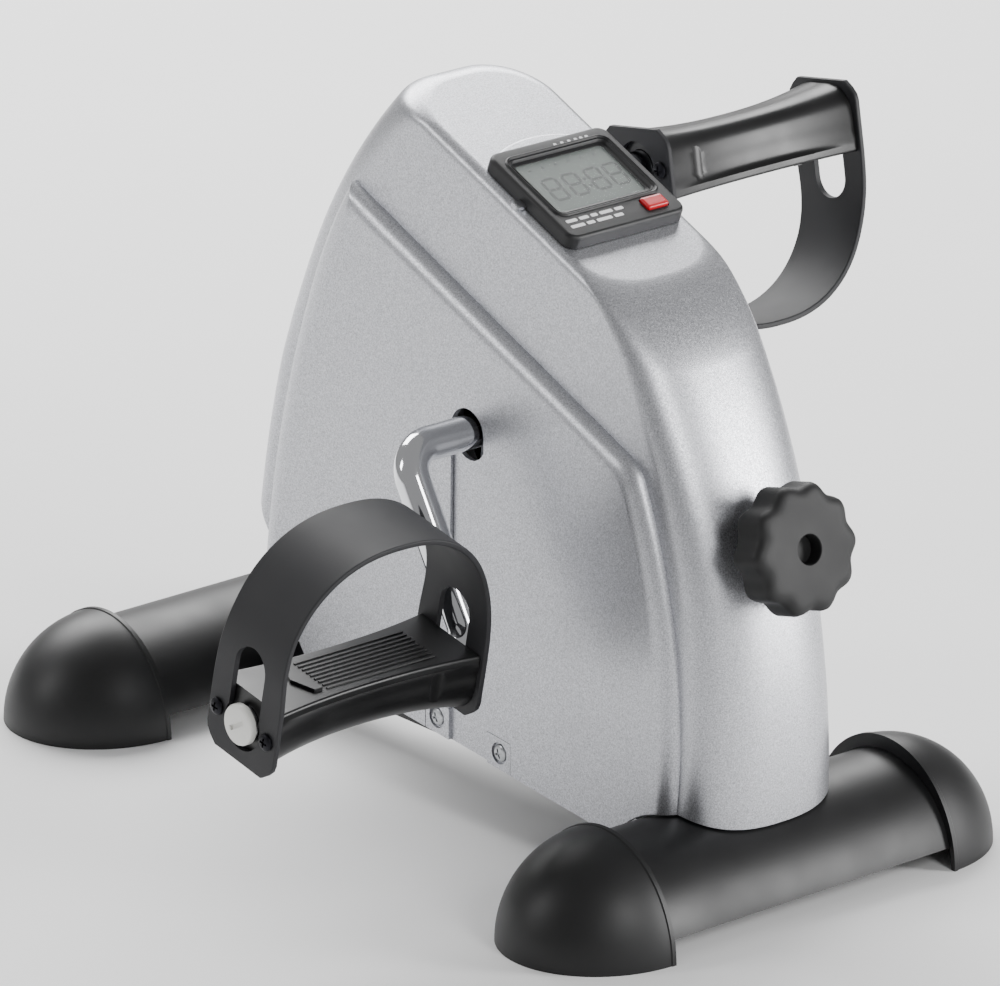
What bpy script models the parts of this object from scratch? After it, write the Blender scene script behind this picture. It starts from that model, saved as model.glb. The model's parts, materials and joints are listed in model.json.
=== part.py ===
"""Pedal exerciser: a small under-desk cycle with a strap brake and a clip-in counter.

Metres, +Z up. X runs along the crank axis and +X is the rider's right. The rider sits at -Y, the side with
the tension knob. z = 0 is the floor, and the origin is under the middle of the machine.
"""

import math

import bmesh
import bpy
from mathutils import Matrix, Vector

GAP = 0.0003  # between two pieces that seat on each other
RUN = 0.0003  # radial clearance of a shaft in its bore

# Feet: two arched beams across the machine, each with a domed cap at both ends.
FOOT_Y = 0.1555  # middle of a foot from the machine's middle
BEAM_RADIUS = 0.0386
BEAM_WALL = 0.004
BEAM_LOW = 0.009  # the beams hang clear of the floor, on their caps
CAP_X = 0.073  # inner rim of a cap
CAP_LENGTH = 0.0455
CAP_HALF_WIDTH = 0.041
CAP_HEIGHT = 0.0448
CAP_LAP = 0.006  # how far a beam goes into its caps
CAP_WALL = 0.0035

# Steel frame inside the casing.
RAIL_HALF_WIDTH = 0.012
RAIL_LOW = 0.016
RAIL_HIGH = 0.030
RAIL_WALL = 0.002
RAIL_PAST = 0.014  # how far the rail runs past a foot's middle
BOLT_RADIUS = 0.004
BOLT_HEAD = 0.005
BOSS_RADIUS = 0.009
PLATE = 0.003  # upright plates
BRACKET = 0.0024  # folded casing bracket
BRACKET_Y = (-0.062, -0.006)
BRACKET_TOP = 0.048

# Crank: one bent rod through the machine, with a pedal on each end.
CRANK_Y = -0.034
CRANK_Z = 0.1655
ROD_RADIUS = 0.007
ARM_X = 0.0735
THROW = 0.084
ARM_ANGLE = math.radians(239.0)  # left arm's direction in the YZ plane, from +Y towards +Z
BEND = 0.013
SPINDLE_PAST = 0.0017  # spindle beyond the pedal's outer end
BUSH_RADIUS = 0.011
BUSH_FLANGE = 0.015
DRUM_RADIUS = 0.044
DRUM_HALF = 0.0095

# Tension screw: starts at the knob's face and runs back and down.
KNOB_FACE_Y = -0.1895
KNOB_FACE_Z = 0.1505
KNOB_TILT = math.radians(14.0)
KNOB_RADIUS = 0.0262
KNOB_DEPTH = 0.0165
KNOB_LOBES = 10
LOBE_DEPTH = 0.0016  # half of the drop from a lobe's crest to the hollow beside it
SCREW_RADIUS = 0.004
NUT_AT = 0.076  # nut's front face along the screw at the loosest setting
NUT_LENGTH = 0.010
ANCHOR_Y = -0.090
ANCHOR_Z = 0.190
ANCHOR_RADIUS = 0.004
BAND = 0.002
BAND_HALF = 0.009

# Casing: one moulded shell between two profile arcs, with a flat sloping top and two raised side panels.
WALL = 0.0026
BODY_HALF = 0.0338
PANEL_HALF = 0.0405
SLOPE = math.radians(23.1)
TOP_Z = 0.2850  # height of the sloping top's plane above the middle
FRONT_RADIUS = 0.2965
FRONT_CENTRE = (0.1215, TOP_Z - 0.2240)
CROWN_RADIUS = 0.236  # back of the casing, above where the two arcs meet
CROWN_CENTRE = (-0.1395, TOP_Z - 0.1600)
REAR_JOIN = math.radians(22.4)
REAR_RADIUS = 0.500  # below it
NOSE_DEPTH = 0.0215
TOP_FILLETS = (0.0042, 0.014, 0.006)  # side, front and rear
REAR_CORNER = (0.025, 0.013)  # plan radius of the rear corners at the top, and how much less it is low down
CORNER_FALL = 0.150  # depth over which that radius shrinks
PANEL_DROP = 0.0492  # panel's ridge below the sloping top
PANEL_FRONT = 0.020  # panel's front edge behind the nose
PANEL_REAR = 0.016  # panel's rear edge ahead of the back
PANEL_ROLL = 0.008  # how wide the panel's rolled edge is, in front and above
PANEL_REAR_ROLL = 0.011
EDGE_LOW_FRONT = (-0.102, 0.0240)
EDGE_LOW_REAR = (0.068, 0.0421)
EDGE_REAR = (0.116, 0.110)
SLOT_TOP = 0.0098  # half width, top and bottom
SLOT_LOW = 0.0122
SLOT_END = 0.010
EAR = 0.014
EAR_HIGH = 0.0135
COVER = 0.0022
HOLE_DROP = 0.003

# Counter on the sloping top.
CASE = (0.060, 0.056)
CASE_HIGH = 0.0062
DISPLAY_Y = -0.0565
SKIRT = (0.046, 0.040)
SKIRT_DEEP = 0.007
WINDOW = (0.045, 0.030)
WINDOW_UP = 0.0039
BUTTON = (0.0106, 0.0063)
BUTTON_AT = (0.018, -0.0202)
PAD_HALF, PAD_V, PAD_RISE = 0.029, 0.019, 0.017  # low crescent above the counter

# Pedals, in their own frame: x outwards along the spindle, z towards the strap.
PEDAL_IN = 0.088
PEDAL_OUT = 0.1868
TREAD_HIGH = 0.0125
PEDAL_LOW = 0.0150
STRAP = 0.0024
STRAP_REACH = 0.0745
STRAP_WIDTH = 0.036
PLATE_WIDTH = 0.041
PLATE_LOW = 0.0165
LEFT_TILT = math.radians(12.0)
RIGHT_TILT = math.radians(170.0)

LEFT, RIGHT = -1, 1
SIDES = {"left": LEFT, "right": RIGHT}


def clear_scene():
    for obj in list(bpy.data.objects):
        bpy.data.objects.remove(obj, do_unlink=True)


def finish(name, colour, roughness, metallic=0.0):
    """A material with the piece's colour, given as linear red, green and blue."""
    made = bpy.data.materials.new(name)
    made.use_nodes = True
    shader = made.node_tree.nodes["Principled BSDF"]
    shader.inputs["Base Color"].default_value = (*colour, 1.0)
    shader.inputs["Roughness"].default_value = roughness
    shader.inputs["Metallic"].default_value = metallic
    made.diffuse_color = (*colour, 1.0)
    return made


clear_scene()
SILVER = finish("silver_plastic", (0.50, 0.50, 0.52), 0.42, 0.35)
BLACK = finish("black_plastic", (0.012, 0.012, 0.014), 0.45)
PVC = finish("strap_pvc", (0.030, 0.030, 0.034), 0.55)
CHROME = finish("chromed_steel", (0.80, 0.80, 0.82), 0.08, 1.0)
STEEL = finish("zinc_steel", (0.55, 0.55, 0.56), 0.35, 1.0)
PAINTED = finish("black_painted_steel", (0.015, 0.015, 0.016), 0.40)
NYLON = finish("white_nylon", (0.80, 0.80, 0.78), 0.45)
RED = finish("red_button", (0.62, 0.015, 0.020), 0.35)
CLEAR = finish("clear_lens", (0.75, 0.78, 0.75), 0.08)
LCD = finish("lcd_glass", (0.36, 0.40, 0.36), 0.20)
BOARD = finish("circuit_board", (0.02, 0.16, 0.05), 0.50)
WEBBING = finish("brake_webbing", (0.16, 0.14, 0.11), 0.85)


# ---------------------------------------------------------------- meshes


def build(name, points, faces, look, pivot=(0, 0, 0), turn=None, parent=None):
    """An object from points in its own frame. pivot is its origin in the world and turn its rotation."""
    mesh = bpy.data.meshes.new(name)
    mesh.from_pydata([tuple(p) for p in points], [], faces)
    shape = bmesh.new()
    shape.from_mesh(mesh)
    bmesh.ops.remove_doubles(shape, verts=shape.verts, dist=1e-7)
    bmesh.ops.recalc_face_normals(shape, faces=shape.faces)
    shape.to_mesh(mesh)
    shape.free()
    mesh.materials.append(look)
    mesh.shade_smooth()
    mesh.set_sharp_from_angle(angle=math.radians(35))
    obj = bpy.data.objects.new(name, mesh)
    bpy.context.scene.collection.objects.link(obj)
    place = Matrix.Translation(pivot)
    if turn is not None:
        place = place @ turn
    if parent is not None:
        obj.parent = parent
        bpy.context.view_layer.update()
        obj.matrix_parent_inverse = parent.matrix_world.inverted()
    obj.matrix_world = place
    return obj


def joint(name, pivot):
    empty = bpy.data.objects.new(name, None)
    empty.empty_display_size = 0.02
    empty.location = pivot
    bpy.context.scene.collection.objects.link(empty)
    return empty


def loft(rings, ends=True):
    """A skin through rings of equal length. Without ends the last ring meets the first."""
    count = len(rings[0])
    points = [p for ring in rings for p in ring]
    spans = len(rings) - 1 if ends else len(rings)
    faces = []
    for i in range(spans):
        a, b = i * count, (i + 1) % len(rings) * count
        for k in range(count):
            n = (k + 1) % count
            faces.append((a + k, a + n, b + n, b + k))
    if ends:
        faces.append(tuple(range(count)))
        faces.append(tuple(range(len(points) - count, len(points))))
    return points, faces


def prism(outline, axis, low, high):
    """An outline in the plane across an axis, extruded from low to high along it."""
    lift = {
        "X": lambda a, b, h: (h, a, b),
        "Y": lambda a, b, h: (a, h, b),
        "Z": lambda a, b, h: (a, b, h),
    }[axis]
    return loft([[lift(a, b, h) for a, b in outline] for h in (low, high)])


def turned(profile, steps):
    """A profile of (radius, height) turned about Z. A profile that starts and ends off the axis is a ring."""
    on_axis = profile[0][0] == 0
    inner = profile[1:-1] if on_axis else profile
    rings = []
    for r, h in inner:
        rings.append([(r * math.cos(a), r * math.sin(a), h) for a in circle_angles(steps)])
    if not on_axis:
        return loft(rings, ends=False)
    points, faces = loft(rings)
    faces = faces[:-2]
    first, last = len(points), len(points) + 1
    points = points + [(0, 0, profile[0][1]), (0, 0, profile[-1][1])]
    base = (len(inner) - 1) * steps
    for k in range(steps):
        n = (k + 1) % steps
        faces.append((first, n, k))
        faces.append((last, base + k, base + n))
    return points, faces


def circle_angles(steps):
    return [2 * math.pi * k / steps for k in range(steps)]


def arc(centre, radius, start, end, steps):
    """Points on a circular arc, angles in radians, ends included."""
    out = []
    for k in range(steps + 1):
        a = start + (end - start) * k / steps
        out.append((centre[0] + radius * math.cos(a), centre[1] + radius * math.sin(a)))
    return out


def rounded(size, radius, steps=4, at=(0.0, 0.0)):
    """A rectangle with round corners, centred on at."""
    a, b = size[0] / 2 - radius, size[1] / 2 - radius
    out = []
    for k, (sx, sy) in enumerate(((1, 1), (-1, 1), (-1, -1), (1, -1))):
        start = k * math.pi / 2
        out += arc((at[0] + sx * a, at[1] + sy * b), radius, start, start + math.pi / 2, steps)
    return out


def hull(points):
    """The convex outline round some points."""
    points = sorted(set(points))

    def half(sequence):
        chain = []
        for p in sequence:
            while len(chain) > 1 and turn_of(chain[-2], chain[-1], p) <= 1e-12:
                chain.pop()
            chain.append(p)
        return chain[:-1]

    return half(points) + half(reversed(points))


def turn_of(a, b, c):
    return (b[0] - a[0]) * (c[1] - a[1]) - (b[1] - a[1]) * (c[0] - a[0])


def box(size, at=(0, 0, 0)):
    corners = ((1, 1), (-1, 1), (-1, -1), (1, -1))
    outline = [(at[0] + sx * size[0] / 2, at[1] + sy * size[1] / 2) for sx, sy in corners]
    return prism(outline, "Z", at[2] - size[2] / 2, at[2] + size[2] / 2)


def combine(obj, shape, operation="DIFFERENCE", turn=None, pivot=(0, 0, 0)):
    """Cuts a shape from an object, or joins it on. The shape stays as a hidden guide."""
    guide = build(f"{obj.name}_guide", *shape, obj.data.materials[0], pivot, turn)
    guide.hide_render = True
    guide.display_type = "WIRE"
    modifier = obj.modifiers.new(operation.title(), "BOOLEAN")
    modifier.operation = operation
    modifier.object = guide
    modifier.solver = "EXACT"
    return guide


ALONG_X = Matrix.Rotation(math.pi / 2, 4, "Y")


def facing(side):
    """Turns a shape made along +Z to point outwards along X on one side."""
    return Matrix.Rotation(side * math.pi / 2, 4, "Y")


# ---------------------------------------------------------------- feet


def foot_beam(end, sign):
    centre = sign * FOOT_Y
    low = math.asin(BEAM_LOW / BEAM_RADIUS)
    inner = BEAM_RADIUS - BEAM_WALL
    low_inner = math.asin(BEAM_LOW / inner)
    outline = arc((centre, 0), BEAM_RADIUS, low, math.pi - low, 18)
    outline += arc((centre, 0), inner, math.pi - low_inner, low_inner, 14)
    half = CAP_X + CAP_LAP
    beam = build(f"{end}_foot_beam", *prism(outline, "X", -half, half), BLACK)
    low, bore, seat = RAIL_HIGH + GAP, BOLT_RADIUS + RUN, inner - GAP
    top = inner + BEAM_WALL / 2
    boss = [(0, seat), (bore, seat), (bore, low), (BOSS_RADIUS, low), (BOSS_RADIUS, top), (0, top)]
    combine(beam, turned(boss, 16), "UNION", pivot=(0, centre, 0))
    height = RAIL_HIGH + 2 * GAP
    notch_length = 0.040
    middle = (0, -sign * (RAIL_PAST + notch_length / 2), height / 2)
    notch = box((2 * (RAIL_HALF_WIDTH + 2 * GAP), notch_length, height), middle)
    combine(beam, notch, pivot=(0, centre, 0))
    return beam


def foot_bolt(end, sign):
    """Hexagon bolt from below, through the rail and into the beam's boss."""
    head, shank = 0.0065, BOLT_RADIUS
    under = RAIL_LOW - GAP - BOLT_HEAD
    tip = BEAM_RADIUS - BEAM_WALL - 0.0010 - under
    profile = [(0, 0), (head * 0.86, 0), (head, 0.001), (head, BOLT_HEAD)]
    profile += [(shank, BOLT_HEAD), (shank, tip), (0, tip)]
    return build(f"{end}_foot_bolt", *turned(profile, 12), STEEL, (0, sign * FOOT_Y, under))


DOME_STEPS = 12


def quarter_dome(length, half_width, height, steps, start=0.0):
    """Half an ellipsoid above the floor, from a flat face at the start outwards along +x."""
    rings = []
    for k in range(steps + 1):
        a = math.pi / 2 * k / (steps + 0.35)
        x = length * math.sin(a)
        shrink = math.cos(a)
        ring = []
        for b in range(DOME_STEPS + 1):
            angle = math.pi * b / DOME_STEPS
            across, up = half_width * shrink * math.cos(angle), height * shrink * math.sin(angle)
            ring.append((start + x, across, up))
        rings.append(ring)
    return loft(rings)


def foot_cap(end, sign, name, side):
    turn = Matrix.Identity(4) if side == RIGHT else Matrix.Rotation(math.pi, 4, "Z")
    pivot = (side * CAP_X, sign * FOOT_Y, 0)
    outer = quarter_dome(CAP_LENGTH, CAP_HALF_WIDTH, CAP_HEIGHT, 7)
    cap = build(f"{end}_{name}_foot_cap", *outer, BLACK, pivot, turn)
    socket = BEAM_RADIUS + GAP
    seat = arc((0, 0), socket, -0.03, math.pi + 0.03, 16)
    combine(cap, prism(seat, "X", -0.005, CAP_LAP + GAP), turn=turn, pivot=pivot)
    depth = CAP_LENGTH - CAP_WALL - CAP_LAP
    half_width = CAP_HALF_WIDTH - CAP_WALL - 0.001
    hollow, faces = quarter_dome(depth, half_width, BEAM_RADIUS - 0.0015, 4, CAP_LAP - 0.0005)
    hollow = [(x, y, z if z > 1e-5 else -0.002) for x, y, z in hollow]
    combine(cap, (hollow, faces), turn=turn, pivot=pivot)
    return cap


# ---------------------------------------------------------------- steel frame


def base_rail():
    """Square tube from foot to foot."""
    half = FOOT_Y + RAIL_PAST
    size = (2 * RAIL_HALF_WIDTH, 2 * half, RAIL_HIGH - RAIL_LOW)
    middle = (RAIL_LOW + RAIL_HIGH) / 2
    rail = build("base_rail", *box(size), PAINTED, (0, 0, middle))
    inside = (size[0] - 2 * RAIL_WALL, size[1] + 0.01, size[2] - 2 * RAIL_WALL)
    combine(rail, box(inside), pivot=(0, 0, middle))
    bore = BOLT_RADIUS + RUN
    for sign in (-1, 1):
        hole = turned([(0, -0.01), (bore, -0.01), (bore, 0.01), (0, 0.01)], 12)
        combine(rail, hole, pivot=(0, sign * FOOT_Y, middle))
    return rail


def casing_bracket():
    """Folded plate on the rail. Its turned-up ends take the four casing screws."""
    low, high = RAIL_HIGH + GAP, RAIL_HIGH + GAP + BRACKET
    reach = PANEL_HALF - WALL - COVER - 0.0005
    fold = reach - BRACKET
    outline = [(-reach, low), (reach, low), (reach, BRACKET_TOP), (fold, BRACKET_TOP), (fold, high)]
    outline += [(-fold, high), (-fold, BRACKET_TOP), (-reach, BRACKET_TOP)]
    bracket = build("casing_bracket", *prism(outline, "Y", *BRACKET_Y), STEEL)
    bore = 0.0017 + RUN
    for y, z in ear_screws():
        hole = turned([(0, -0.05), (bore, -0.05), (bore, 0.05), (0, 0.05)], 10)
        combine(bracket, hole, turn=ALONG_X, pivot=(0, y, z))
    return bracket


UPRIGHT_IN = RAIL_HALF_WIDTH + GAP


def upright(name, side):
    foot_z = RAIL_HIGH + 2 * GAP + BRACKET
    points = arc((CRANK_Y, CRANK_Z), 0.020, 0, 2 * math.pi, 24)[:-1]
    points += arc((ANCHOR_Y, ANCHOR_Z), 0.008, 0, 2 * math.pi, 12)[:-1]
    points += [(BRACKET_Y[0], foot_z), (BRACKET_Y[1], foot_z)]
    outer = UPRIGHT_IN + PLATE
    low, high = sorted((side * UPRIGHT_IN, side * outer))
    plate = build(f"{name}_upright", *prism(hull(points), "X", low, high), STEEL)
    for y, z, r in ((CRANK_Y, CRANK_Z, BUSH_RADIUS + GAP), (ANCHOR_Y, ANCHOR_Z, ANCHOR_RADIUS + GAP)):
        hole = prism(arc((y, z), r, 0, 2 * math.pi, 24)[:-1], "X", -0.03, 0.03)
        combine(plate, hole)
    lighten = arc((CRANK_Y, 0.085), 0.013, math.pi, 2 * math.pi, 10)
    lighten += arc((CRANK_Y, 0.118), 0.011, 0, math.pi, 10)
    combine(plate, prism(lighten, "X", -0.03, 0.03))
    return plate


def bush(name, side):
    """Flanged nylon bush pressed into an upright from outside."""
    bore = ROD_RADIUS + RUN
    inner, seat = UPRIGHT_IN - 0.0015, UPRIGHT_IN + PLATE + GAP
    profile = [(bore, inner), (BUSH_RADIUS, inner), (BUSH_RADIUS, seat), (BUSH_FLANGE, seat)]
    profile += [(BUSH_FLANGE, seat + 0.0024), (bore, seat + 0.0024)]
    return build(f"{name}_bush", *turned(profile, 20), NYLON, (0, CRANK_Y, CRANK_Z), facing(side))


def anchor_pin():
    half = UPRIGHT_IN + PLATE + 0.0025
    radius, edge = ANCHOR_RADIUS, 0.0005
    profile = [(0, -half), (radius - edge, -half), (radius, -half + edge)]
    profile += [(radius, half - edge), (radius - edge, half), (0, half)]
    return build("band_anchor_pin", *turned(profile, 14), STEEL, (0, ANCHOR_Y, ANCHOR_Z), ALONG_X)


def reed_sensor():
    size = (0.0035, 0.016, 0.009)
    x = -UPRIGHT_IN + GAP + size[0] / 2
    reach = DRUM_RADIUS - 0.010
    return build("reed_sensor", *box(size), BLACK, (x, CRANK_Y, CRANK_Z - reach))


# ---------------------------------------------------------------- crank


def arm_offset(side):
    """The left arm's spindle from the crank axis; the right one is opposite."""
    y, z = THROW * math.cos(ARM_ANGLE), THROW * math.sin(ARM_ANGLE)
    return (y, z) if side == LEFT else (-y, -z)


def spindle(side):
    y, z = arm_offset(side)
    return CRANK_Y + y, CRANK_Z + z


def bent_path(corners, radius, steps):
    """A route through corners with round bends."""
    path = [corners[0]]
    for before, at, after in zip(corners, corners[1:-1], corners[2:]):
        a, b = (before - at).normalized(), (after - at).normalized()
        half = a.angle(b) / 2
        reach = radius / math.tan(half)
        centre = at + (a + b).normalized() * (radius / math.sin(half))
        start, end = at + a * reach - centre, at + b * reach - centre
        sweep = start.angle(end)
        axis = start.cross(end).normalized()
        for k in range(steps + 1):
            path.append(centre + Matrix.Rotation(sweep * k / steps, 3, axis) @ start)
    path.append(corners[-1])
    return path


def tube(path, radius, sides):
    """A round bar along a path, with small chamfers at its ends."""
    rings = []
    up = Vector((0, 0, 1))
    for i, p in enumerate(path):
        ahead = (path[min(i + 1, len(path) - 1)] - path[max(i - 1, 0)]).normalized()
        side = ahead.cross(up)
        if side.length < 0.3:
            side = ahead.cross(Vector((0, 1, 0)))
        side.normalize()
        if rings and side.dot(last_side) < 0:
            side = -side
        side = (last_side - ahead * last_side.dot(ahead)).normalized() if rings else side
        last_side = side
        other = ahead.cross(side)
        rings.append([p + radius * (math.cos(a) * side + math.sin(a) * other) for a in circle_angles(sides)])
    return loft(rings)


PIN_X = 0.0057
PIN_RADIUS = 0.002


def crankshaft(parent):
    ly, lz = spindle(LEFT)
    ry, rz = spindle(RIGHT)
    corners = [
        Vector((-PEDAL_OUT - SPINDLE_PAST, ly, lz)),
        Vector((-ARM_X, ly, lz)),
        Vector((-ARM_X, CRANK_Y, CRANK_Z)),
        Vector((ARM_X, CRANK_Y, CRANK_Z)),
        Vector((ARM_X, ry, rz)),
        Vector((PEDAL_OUT + SPINDLE_PAST, ry, rz)),
    ]
    pivot = Vector((0, CRANK_Y, CRANK_Z))
    path = [p - pivot for p in bent_path(corners, BEND, 5)]
    shaft = build("crankshaft", *tube(path, ROD_RADIUS, 12), CHROME, pivot, parent=parent)
    bore = PIN_RADIUS + RUN
    hole = turned([(0, -0.02), (bore, -0.02), (bore, 0.02), (0, 0.02)], 10)
    combine(shaft, hole, pivot=pivot + Vector((PIN_X, 0, 0)))
    return shaft


def brake_drum(parent):
    """Moulded drum: a rim that the band rubs on, a thin web and a hub on the shaft."""
    bore, hub, rim, web = ROD_RADIUS + RUN, 0.013, DRUM_RADIUS - 0.004, 0.002
    half = DRUM_HALF
    profile = [(bore, -half), (hub, -half), (hub, -web), (rim, -web), (rim, -half), (DRUM_RADIUS, -half)]
    profile += [(r, -h) for r, h in reversed(profile)]
    pivot = (0, CRANK_Y, CRANK_Z)
    drum = build("brake_drum", *turned(profile, 28), BLACK, pivot, ALONG_X, parent)
    pin = PIN_RADIUS + RUN
    hole = turned([(0, -0.02), (pin, -0.02), (pin, 0.02), (0, 0.02)], 10)
    combine(drum, hole, pivot=(PIN_X, CRANK_Y, CRANK_Z))
    return drum


def crank_small_parts(parent):
    half = 0.0125
    radius, edge = PIN_RADIUS, 0.0005
    profile = [(0, -half), (radius - edge, -half), (radius, -half + edge)]
    profile += [(radius, half - edge), (radius - edge, half), (0, half)]
    build("drum_pin", *turned(profile, 10), STEEL, (PIN_X, CRANK_Y, CRANK_Z), parent=parent)
    web, reach = 0.002, DRUM_RADIUS - 0.010
    disc = [(0, 0), (0.0036, 0), (0.004, 0.0004), (0.004, 0.0036), (0.0036, 0.004), (0, 0.004)]
    at = (-web - GAP, CRANK_Y, CRANK_Z - reach)
    build("sensor_magnet", *turned(disc, 14), STEEL, at, facing(LEFT), parent)
    start = UPRIGHT_IN + PLATE + 2 * GAP + 0.0024
    bore = ROD_RADIUS + RUN
    radius, long, edge = 0.013, 0.007, 0.0005
    collar = [(bore, start), (radius - edge, start), (radius, start + edge)]
    collar += [(radius, start + long - edge), (radius - edge, start + long), (bore, start + long)]
    for name, side in SIDES.items():
        build(f"{name}_shaft_collar", *turned(collar, 18), STEEL, (0, CRANK_Y, CRANK_Z), facing(side), parent)


# ---------------------------------------------------------------- tension brake


BACK = Vector((0, math.cos(KNOB_TILT), -math.sin(KNOB_TILT)))
RISE = Vector((0, math.sin(KNOB_TILT), math.cos(KNOB_TILT)))
KNOB_FACE = Vector((0, KNOB_FACE_Y, KNOB_FACE_Z))
# A frame whose z runs out of the knob towards the rider, with x along X.
SCREW_TURN = Matrix.Rotation(math.pi / 2 - KNOB_TILT, 4, "X")


def on_screw(along, up=0.0):
    return KNOB_FACE + BACK * along + RISE * up


def tension_knob(parent):
    """Moulded star knob with a round collar behind it."""
    steps = 4 * KNOB_LOBES
    levels = [(-KNOB_DEPTH, -0.0015), (-KNOB_DEPTH + 0.0015, 0), (-0.0030, 0), (0, -0.0028)]
    rings = []
    for h, inset in levels:
        ring = []
        for a in circle_angles(steps):
            r = KNOB_RADIUS - LOBE_DEPTH * (1 - math.cos(KNOB_LOBES * a)) + inset
            ring.append((r * math.cos(a), r * math.sin(a), h))
        rings.append(ring)
    knob = build("tension_knob", *loft(rings), BLACK, KNOB_FACE, SCREW_TURN, parent)
    back, lap = -KNOB_DEPTH - 0.0065, -KNOB_DEPTH + 0.002
    collar = [(0, back), (0.0125, back), (0.0140, -KNOB_DEPTH - 0.001), (0.0140, lap), (0, lap)]
    combine(knob, turned(collar, 24), "UNION", SCREW_TURN, KNOB_FACE)
    dish = [(0, -0.0060), (0.0058, -0.0060), (0.0060, 0.001), (0, 0.001)]
    combine(knob, turned(dish, 20), turn=SCREW_TURN, pivot=KNOB_FACE)
    bore = SCREW_RADIUS + RUN
    hole = [(0, -0.05), (bore, -0.05), (bore, -0.0085), (0, -0.0085)]
    combine(knob, turned(hole, 14), turn=SCREW_TURN, pivot=KNOB_FACE)
    return knob


def tension_screw(parent):
    tip, seat, lead = -(NUT_AT + NUT_LENGTH), -0.0090, 0.001  # the tip is flush with the loosest nut
    profile = [(0, tip), (SCREW_RADIUS - lead, tip), (SCREW_RADIUS, tip + lead)]
    profile += [(SCREW_RADIUS, seat), (0, seat)]
    return build("tension_screw", *turned(profile, 14), STEEL, KNOB_FACE, SCREW_TURN, parent)


def tension_nut():
    size = (2 * (UPRIGHT_IN + PLATE - 0.001), 0.018, NUT_LENGTH)
    pivot = on_screw(NUT_AT + NUT_LENGTH / 2)
    nut = build("tension_nut", *box(size), STEEL, pivot, SCREW_TURN)
    bore = SCREW_RADIUS + RUN
    hole = [(0, -0.02), (bore, -0.02), (bore, 0.02), (0, 0.02)]
    combine(nut, turned(hole, 14), turn=SCREW_TURN, pivot=pivot)
    return nut


def tension_bracket():
    """U-shaped strap on the outsides of the uprights. Its closed end carries the screw."""
    inner = UPRIGHT_IN + PLATE + GAP
    outer = inner + BRACKET
    front, back = -0.046, -0.138
    outline = [(-outer, front), (-outer, back), (-inner, back), (-inner, front - PLATE)]
    outline += [(inner, front - PLATE), (inner, back), (outer, back), (outer, front)]
    points, faces = prism(outline, "Y", -0.008, 0.008)
    bracket = build("tension_bracket", points, faces, STEEL, KNOB_FACE, SCREW_TURN)
    bore = SCREW_RADIUS + RUN
    hole = [(0, -0.06), (bore, -0.06), (bore, -0.04), (0, -0.04)]
    combine(bracket, turned(hole, 14), turn=SCREW_TURN, pivot=KNOB_FACE)
    return bracket


def brake_band():
    """Webbing from the anchor pin over and behind the drum, then forward along the screw to the nut."""
    centre = (CRANK_Y, CRANK_Z)
    radius = DRUM_RADIUS + GAP + BAND / 2
    down = math.atan2(-RISE.z, -RISE.y)  # lowest point of the wrap, where the band leaves along the screw
    reach = ANCHOR_RADIUS + GAP + BAND / 2
    dy, dz = ANCHOR_Y - centre[0], ANCHOR_Z - centre[1]
    far = math.hypot(dy, dz)
    towards = math.atan2(dz, dy)
    up = towards - math.acos((radius - reach) / far)
    tip = (ANCHOR_Y + reach * math.cos(up), ANCHOR_Z + reach * math.sin(up))
    wrap = arc(centre, radius, up, down, 28)
    leave = wrap[-1]
    along = (KNOB_FACE + BACK * (NUT_AT + NUT_LENGTH + GAP) - Vector((0, *leave))).dot(BACK)
    end = (leave[0] + BACK.y * along, leave[1] + BACK.z * along)
    start = (tip[0] - 0.003 * math.sin(up), tip[1] + 0.003 * math.cos(up))
    route = [start] + wrap + [end]
    left, right = [], []
    for i, (y, z) in enumerate(route):
        a, b = route[max(i - 1, 0)], route[min(i + 1, len(route) - 1)]
        ty, tz = b[0] - a[0], b[1] - a[1]
        length = math.hypot(ty, tz)
        ny, nz = -tz / length * BAND / 2, ty / length * BAND / 2
        left.append((y + ny, z + nz))
        right.append((y - ny, z - nz))
    return build("brake_band", *prism(left + right[::-1], "X", -BAND_HALF, BAND_HALF), WEBBING)


# ---------------------------------------------------------------- casing


DASH = (math.cos(SLOPE), math.sin(SLOPE))  # up the sloping top, in YZ
OUT = (-math.sin(SLOPE), math.cos(SLOPE))  # out of it


def cross(level, centre, radius, sign):
    """Distance up the slope at which a plane this far below the sloping top meets a profile arc."""
    q = (-level * OUT[0] - centre[0], TOP_Z - level * OUT[1] - centre[1])
    along = q[0] * DASH[0] + q[1] * DASH[1]
    return -along + sign * math.sqrt(along * along - q[0] ** 2 - q[1] ** 2 + radius * radius)


REAR_CENTRE = (
    CROWN_CENTRE[0] - (REAR_RADIUS - CROWN_RADIUS) * math.cos(REAR_JOIN),
    CROWN_CENTRE[1] - (REAR_RADIUS - CROWN_RADIUS) * math.sin(REAR_JOIN),
)


def cross_rear(level, inset):
    """The same for the back, which is a tight arc under the crown and a flatter one below it."""
    radius = CROWN_RADIUS - inset
    s = cross(level, CROWN_CENTRE, radius, 1)
    join = CROWN_CENTRE[1] + radius * math.sin(REAR_JOIN)
    return s if on_slope(s, level)[1] > join else cross(level, REAR_CENTRE, REAR_RADIUS - inset, 1)


def on_slope(s, level):
    return s * DASH[0] - level * OUT[0], TOP_Z + s * DASH[1] - level * OUT[1]


def fillet(depth, radius):
    return radius - math.sqrt(radius**2 - (radius - depth) ** 2) if depth < radius else 0.0


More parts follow.
